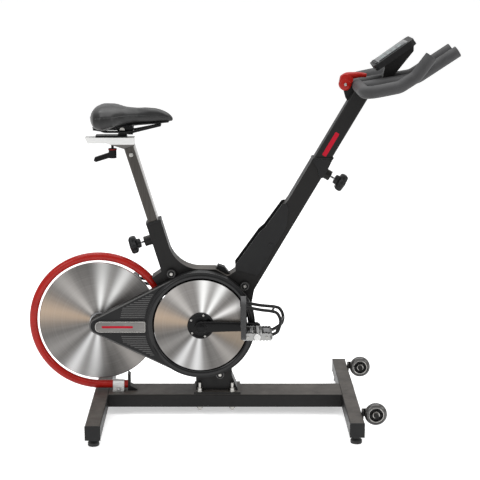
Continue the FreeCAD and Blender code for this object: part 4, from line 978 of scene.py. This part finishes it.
def pull_knob(node, joint, body):
    """A six-lobed knob on a bright plunger."""
    axis = Vector(joints[joint]["axis"]).normalized()
    tip = end_of(node, axis)
    start = end_of(node, -axis)
    length = (tip - start).length
    size = max((Vector(vertex.co) - tip - axis * (Vector(vertex.co) - tip).dot(axis)).length
               for vertex in frame["nodes"][node].data.vertices)

    def lobes(angle, radius):
        share = max(0.0, min(1.0, (radius / size - 0.45) / 0.4))
        return radius * (1 - share * 0.13 * (0.5 - 0.5 * math.cos(6 * angle)) ** 0.8)

    head = [(0, -0.0010), (size * 0.32, -0.0010), (size * 0.36, -0.0026), (size * 0.62, -0.0022),
            (size * 0.82, -0.0012), (size * 0.93, -0.0032), (size * 0.995, -0.0075), (size, -0.0125),
            (size * 0.97, -0.0185), (size * 0.86, -0.0225), (size * 0.60, -0.0240), (size * 0.52, -0.0255),
            (size * 0.49, -0.034), (size * 0.40, -0.0352), (0, -0.0352)]
    knob = lathe(f"{node}_knob", head, tip, axis, 132, lobes)
    finish_piece(knob, BLACK_PLASTIC, body, [node])
    rod_length = length - 0.034
    shaft = [(0, 0), (0.0029, 0), (0.0029, rod_length * 0.5)]
    threads = 9
    for index in range(threads):
        along = rod_length * (0.52 + 0.4 * index / threads)
        shaft += [(0.0026, along), (0.0031, along + rod_length * 0.018)]
    shaft += [(0.0029, rod_length * 0.94), (0.0055, rod_length * 0.945), (0.0055, rod_length + 0.0005),
              (0, rod_length + 0.0005)]
    plunger = lathe(f"{node}_plunger", shaft, start, axis, 36)
    finish_piece(plunger, STEEL, body)


# ---------- wheels and feet ----------

def transport_wheel(side):
    """A small roller: a rounded tyre, a bright rim and a six-ribbed hub over a bearing."""
    node = f"transport_wheel_{side}"
    low, high = corners_of(node)
    centre = (low + high) / 2
    radius = (high.x - low.x) / 2
    half = (high.y - low.y) / 2
    body = f"wheel_{side}"
    tyre = [(radius * 0.66, -half * 0.86), (radius * 0.80, -half), (radius * 0.92, -half * 0.82),
            (radius * 0.985, -half * 0.45), (radius, 0), (radius * 0.985, half * 0.45),
            (radius * 0.92, half * 0.82), (radius * 0.80, half), (radius * 0.66, half * 0.86),
            (radius * 0.64, 0)]
    rubber = lathe(f"roller_tyre_{side}", closed_ring(tyre), centre, ACROSS, 96)
    finish_piece(rubber, TYRE, body, [node])
    rings = bmesh.new()
    for sign in (-1, 1):
        face = half * 0.90 * sign
        back = half * 0.55 * sign
        rim = [(radius * 0.60, back), (radius * 0.60, face), (radius * 0.64, face + sign * 0.0008),
               (radius * 0.685, face), (radius * 0.69, back)]
        add_lathe(rings, closed_ring(rim), centre, ACROSS, 96)
        bearing = [(radius * 0.15, back), (radius * 0.15, face + sign * 0.0004),
                   (radius * 0.30, face + sign * 0.0004), (radius * 0.33, face - sign * 0.001),
                   (radius * 0.33, back)]
        add_lathe(rings, closed_ring(bearing), centre, ACROSS, 64)
    finish_piece(object_from(rings, f"roller_rims_{side}"), ZINC, body)
    hub = bmesh.new()
    web = [(radius * 0.145, -half * 0.35), (radius * 0.66, -half * 0.35), (radius * 0.66, half * 0.35),
           (radius * 0.145, half * 0.35)]
    add_lathe(hub, closed_ring(web), centre, ACROSS, 64)
    root = centre.x + radius * 0.28
    tip = centre.x + radius * 0.63
    outline = rounded([(root, centre.z - 0.0016), (tip, centre.z - 0.0028), (tip, centre.z + 0.0028),
                       (root, centre.z + 0.0016)], 0.0008, 3)
    for step in range(6):
        spin = Matrix.Rotation(math.radians(60 * step), 4, "Y")
        turn = Matrix.Translation(centre) @ spin @ Matrix.Translation(-centre)
        add_slab(hub, outline, centre.y - half * 0.8, centre.y + half * 0.8, 0.0006, turn)
    finish_piece(object_from(hub, f"roller_hub_{side}", 35), BLACK_GLOSS, body)


# ---------- handlebar ----------

def bar_plugs():
    """The rubber plugs in the four ends of the handlebars."""
    plans = []
    for sign in (-1, 1):
        plans.append(("outer_handlebar", sign, Vector((41, 0, 56)).normalized(), 0.018))
        plans.append(("inner_handlebars", sign, Vector((117, 0, 78)).normalized(), 0.017))
    for node, sign, heading, radius in plans:
        corners = frame["nodes"][node].data.vertices
        spots = [vertex.co.copy() for vertex in corners if vertex.co.y * sign > 0.02]
        furthest = max(spot.dot(heading) for spot in spots)
        face = [spot for spot in spots if spot.dot(heading) > furthest - 0.0006]
        centre = sum(face, Vector()) / len(face)
        profile = [(0, -0.010), (radius - 0.0035, -0.010), (radius - 0.0035, -0.0006),
                   (radius - 0.0006, -0.0004), (radius - 0.0002, 0.0004), (radius - 0.0012, 0.0016),
                   (radius - 0.005, 0.0022), (radius * 0.45, 0.0022), (radius * 0.40, 0.0014), (0, 0.0014)]
        side = "right" if sign < 0 else "left"
        plug = lathe(f"{node}_plug_{side}", profile, centre, heading, 56)
        finish_piece(plug, GRIP_RUBBER, "handlebar")


def console_detail():
    """The console's window, display segments and keys, in the console's own tilt."""
    low, high = corners_of("console_screen")
    node = frame["nodes"]["console_screen"]
    normal = Vector((0, 0, 0))
    for polygon in node.data.polygons:
        if polygon.normal.z > 0.5:
            normal += polygon.normal * polygon.area
    normal.normalize()
    forward = ACROSS.cross(normal)
    centre = (low + high) / 2 + normal * 0.0005
    tilt = Matrix((forward, -ACROSS, normal)).transposed().to_4x4()
    place = Matrix.Translation(centre) @ tilt
    lay = place @ Matrix(((1, 0, 0, 0), (0, 0, 1, 0), (0, 1, 0, 0), (0, 0, 0, 1)))

    def raised(name, outlines, bottom, top, material, bevel=0.0003):
        shape = bmesh.new()
        for outline in outlines:
            add_slab(shape, outline, bottom, top, bevel, lay)
        finish_piece(object_from(shape, name, 35), material, "handlebar")

    window = block_outline((-0.047, -0.043), (0.047, 0.043), 0.005)
    raised("console_window", [window], 0.0001, 0.0009, SCREEN)
    segments = []
    for start, tall in ((-0.038, 0.016), (-0.016, 0.012), (0.002, 0.012), (0.020, 0.012)):
        for column in (-0.019, 0.019):
            segments.append(block_outline((start, column - 0.015), (start + tall, column + 0.015), 0.0015))
    raised("console_segments", segments, 0.0009, 0.0013, LCD, 0.0001)
    keys = []
    for spot in (-0.034, 0, 0.034):
        keys.append(block_outline((-0.0625, spot - 0.011), (-0.054, spot + 0.011), 0.003))
    raised("console_keys", keys, -0.0012, 0.0016, GRIP_RUBBER, 0.0006)


def resistance_lever():
    """The red shift lever: a fat rounded hub and a drooping, tapering arm."""
    low, high = corners_of("resistance_lever")
    pivot = Vector(joints["resistance_shift"]["pos_m"])
    shape = bmesh.new()
    half = (high.y - low.y) / 2
    for sign in (-1, 1):
        profile = [(0, sign * 0.0034), (0.0165, sign * 0.0034), (0.0186, sign * 0.0055),
                   (0.019, sign * 0.0085), (0.0172, sign * 0.0118), (0.012, sign * (half - 0.0004)),
                   (0.006, sign * half), (0, sign * half)]
        add_lathe(shape, profile, (pivot.x, 0, pivot.z), ACROSS, 72)
    arm = smooth_path([(pivot.x - 0.004, 0, pivot.z + 0.014), (pivot.x + 0.004, 0, pivot.z + 0.0225),
                       (pivot.x + 0.020, 0, pivot.z + 0.0255), (pivot.x + 0.042, 0, pivot.z + 0.0275),
                       (high.x - 0.005, 0, high.z - 0.013)], 8)
    add_tube(shape, arm, lambda share: 0.0118 - 0.0066 * share ** 1.3, 24, flat=1.15)
    bridge = rounded([(pivot.x - 0.019, pivot.z + 0.001), (pivot.x + 0.019, pivot.z + 0.001),
                      (pivot.x + 0.025, pivot.z + 0.019), (pivot.x + 0.004, pivot.z + 0.032),
                      (pivot.x - 0.014, pivot.z + 0.026)], 0.006, 4)
    for sign in (-1, 1):
        near, far = sorted((sign * 0.0034, sign * 0.0125))
        add_slab(shape, bridge, near, far, 0.003)
    lever = object_from(shape, "resistance_lever_grip", 50)
    finish_piece(lever, GUARD_RED, "resistance", ["resistance_lever"])
    bolt = bmesh.new()
    for sign in (-1, 1):
        socket_screw(bolt, (pivot.x, sign * (half - 0.0003), pivot.z), ACROSS * sign, 0.0045, 0.0024)
    finish_piece(object_from(bolt, "resistance_lever_bolt"), ZINC, "resistance")


def post_trim():
    """The plain stripe on the handlebar post, just above the collar."""
    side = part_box("handlebar_post")[0][1]
    up = Vector(joints["handlebar_height"]["axis"]).normalized()
    forward = Vector((up.z, 0, -up.x))
    collar_top = Vector((0.247, 0, 0.7975))
    tilt = Matrix((up, ACROSS, forward)).transposed().to_4x4()
    place = Matrix.Translation(collar_top) @ tilt
    shape = bmesh.new()
    outline = block_outline((0.018, -0.0085), (0.098, 0.0050), 0.003)
    add_slab(shape, outline, side - 0.0001, side + 0.0002, 0.0, place)
    finish_piece(object_from(shape, "post_stripe"), LABEL_RED, "handlebar")


# ---------- seat ----------

def saddle_cushion():
    """The padded saddle: the plain solid remeshed, puffed up by a cloth run and smoothed."""
    source = frame["nodes"]["saddle"]
    mesh = source.data.copy()
    mesh.materials.clear()
    mesh.name = "saddle_cushion"
    cushion = bpy.data.objects.new("saddle_cushion", mesh)
    bpy.context.scene.collection.objects.link(cushion)
    low, high = corners_of("saddle")
    middle = (low + high) / 2
    remesh = cushion.modifiers.new("Remesh", "REMESH")
    remesh.mode = "VOXEL"
    remesh.voxel_size = 0.0045
    relax = cushion.modifiers.new("Relax", "SMOOTH")
    relax.factor = 0.5
    relax.iterations = 14
    bake_modifiers(cushion)
    reach = high - low
    for vertex in cushion.data.vertices:
        vertex.co = middle + (vertex.co - middle) * 0.985
        along = (vertex.co.x - low.x) / reach.x
        up = max(0.0, min(1.0, (vertex.co.z - low.z) / reach.z))
        rear = max(0.0, min(1.0, (0.66 - along) / 0.45))
        outward = max(0.0, min(1.0, (abs(vertex.co.y) / reach.y - 0.12) / 0.30))
        nose = max(0.0, (along - 0.80) / 0.20)
        vertex.co.x += 0.005 * nose
        vertex.co.z -= 0.014 * rear * outward * outward * (1 - up) + 0.020 * nose * nose * up
    puff_up(cushion, 0.006)
    divide = cushion.modifiers.new("Divide", "SUBSURF")
    divide.levels = divide.render_levels = 1
    bake_modifiers(cushion)
    for polygon in cushion.data.polygons:
        polygon.use_smooth = True
    finish_piece(cushion, VINYL, "saddle_set", ["saddle"])
    saddle_seams(cushion)


def bake_modifiers(piece):
    """Put a piece's modifiers into its mesh."""
    bpy.context.view_layer.update()
    graph = bpy.context.evaluated_depsgraph_get()
    mesh = bpy.data.meshes.new_from_object(piece.evaluated_get(graph))
    piece.modifiers.clear()
    piece.data = mesh


def puff_up(piece, cap):
    """Blow a closed skin up a little from inside, moving no point further than the cap."""
    before = [vertex.co.copy() for vertex in piece.data.vertices]
    cloth = piece.modifiers.new("Cloth", "CLOTH")
    cloth.settings.use_pressure = True
    cloth.settings.uniform_pressure_force = 2.4
    cloth.settings.mass = 0.3
    cloth.settings.tension_stiffness = 25
    cloth.settings.compression_stiffness = 25
    cloth.settings.bending_stiffness = 1.5
    cloth.settings.effector_weights.gravity = 0
    scene = bpy.context.scene
    scene.frame_start, scene.frame_end = 1, 20
    for number in range(1, 21):
        scene.frame_set(number)
    bake_modifiers(piece)
    scene.frame_set(1)
    for vertex, start in zip(piece.data.vertices, before):
        step = vertex.co - start
        if step.length > cap:
            vertex.co = start + step.normalized() * cap


def saddle_seams(cushion):
    """The piping round the rear, laid on the cushion."""
    tree = BVHTree.FromPolygons([vertex.co for vertex in cushion.data.vertices],
                                [tuple(polygon.vertices) for polygon in cushion.data.polygons])
    low, high = corners_of("saddle")
    length = high.x - low.x
    wide = (high.y - low.y) / 2

    def side_spot(share, level, sign):
        x = low.x + length * share
        far = Vector((x, sign * wide * 1.6, low.z + (high.z - low.z) * level))
        hit = tree.ray_cast(far, Vector((0, -sign, 0)))
        return hit[0]

    seam = []
    for sign in (-1, 1):
        row = []
        for index in range(34):
            share = 0.06 + 0.90 * index / 33
            level = 0.50 + 0.10 * math.sin(share * math.pi) - 0.06 * share
            spot = side_spot(share, level, sign)
            if spot is not None:
                row.append(spot)
        seam.append(row)
    rear = Vector((low.x - 0.05, 0, low.z + (high.z - low.z) * 0.5))
    back_row = []
    for index in range(15):
        y = wide * 0.46 * (index - 7) / 7
        hit = tree.ray_cast(Vector((rear.x, y, rear.z)), Vector((1, 0, 0)))
        if hit[0] is not None:
            back_row.append(hit[0])
    path = list(reversed(seam[0])) + back_row + seam[1]
    pipe = tube("saddle_piping", smooth_path(path[::2], 5), 0.0011, 8)
    finish_piece(pipe, VINYL, "saddle_set")


def seat_detail():
    """The ring on the clamp lever's hub and the bolts through the top of the post."""
    hub_x = joints["seat_lever_turn"]["pos_m"][0]
    hub_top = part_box("seat_lever")[1][2]
    ring = [(0.0123, hub_top - 0.0045), (0.0132, hub_top - 0.004), (0.0132, hub_top - 0.0008),
            (0.0118, hub_top), (0.0060, hub_top)]
    top = lathe("seat_lever_ring", closed_ring(ring), (hub_x, 0, 0), (0, 0, 1), 56)
    finish_piece(top, LEVER_RED, "seat_clamp_lever")
    bolts = bmesh.new()
    post_low, post_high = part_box("seat_post")
    spot = (post_low[0] + 0.021, 0, post_high[2] - 0.026)
    for sign in (-1, 1):
        face = post_high[1] if sign > 0 else post_low[1]
        socket_screw(bolts, (spot[0], face, spot[2]), ACROSS * sign, 0.0068, 0.0042)
    finish_piece(object_from(bolts, "seat_post_bolts"), ZINC, "seat_mast")


# ---------- studio ----------

def studio():
    """A pale floor, a large overhead softbox, two fills and the camera."""
    bpy.ops.mesh.primitive_plane_add(size=400, location=(0, 0, 0))
    floor = bpy.context.object
    floor.name = "studio_floor"
    floor.data.materials.append(floor_finish())
    world = bpy.data.worlds.new("studio")
    world.use_nodes = True
    world.node_tree.nodes["Background"].inputs["Color"].default_value = (1, 1, 1, 1)
    world.node_tree.nodes["Background"].inputs["Strength"].default_value = 0.6
    bpy.context.scene.world = world
    softbox("overhead", (0, 0.2, 3.4), (0, 0, 0), 4.2, 150)
    softbox("key", (-2.6, -2.6, 2.4), (0, 0, 0.55), 1.6, 34)
    softbox("right_fill", (3.0, -1.6, 1.7), (0, 0, 0.6), 1.4, 20)
    camera = bpy.data.cameras.new("camera")
    camera.sensor_width = 36
    camera.lens = 95.6
    camera.shift_x = 0.041
    camera.clip_end = 1000
    viewer = bpy.data.objects.new("camera", camera)
    viewer.location = (-0.057, -3.8208, 1.4093)
    viewer.rotation_euler = (math.radians(90 - 12.69), 0, 0)
    bpy.context.scene.collection.objects.link(viewer)
    bpy.context.scene.camera = viewer
    bpy.context.scene.view_settings.view_transform = "Standard"


def softbox(name, place, target, size, power):
    light = bpy.data.lights.new(name, "AREA")
    light.shape = "SQUARE"
    light.size = size
    light.energy = power
    lamp = bpy.data.objects.new(name, light)
    lamp.location = place
    lamp.rotation_euler = (Vector(target) - Vector(place)).to_track_quat("-Z", "Y").to_euler()
    bpy.context.scene.collection.objects.link(lamp)


dress_cad_nodes()
metal_discs()
crank_group()
for side_name, side_sign in (("right", -1), ("left", 1)):
    pedal(side_name)
    toe_cage(side_name, side_sign)
    toe_strap(side_name, side_sign)
    transport_wheel(side_name)
cover_trim()
pull_knob("seat_pin", "seat_pin_pull", "seat_pull_pin")
pull_knob("handlebar_pin", "handlebar_pin_pull", "handlebar_pull_pin")
bar_plugs()
console_detail()
resistance_lever()
post_trim()
saddle_cushion()
seat_detail()
studio()
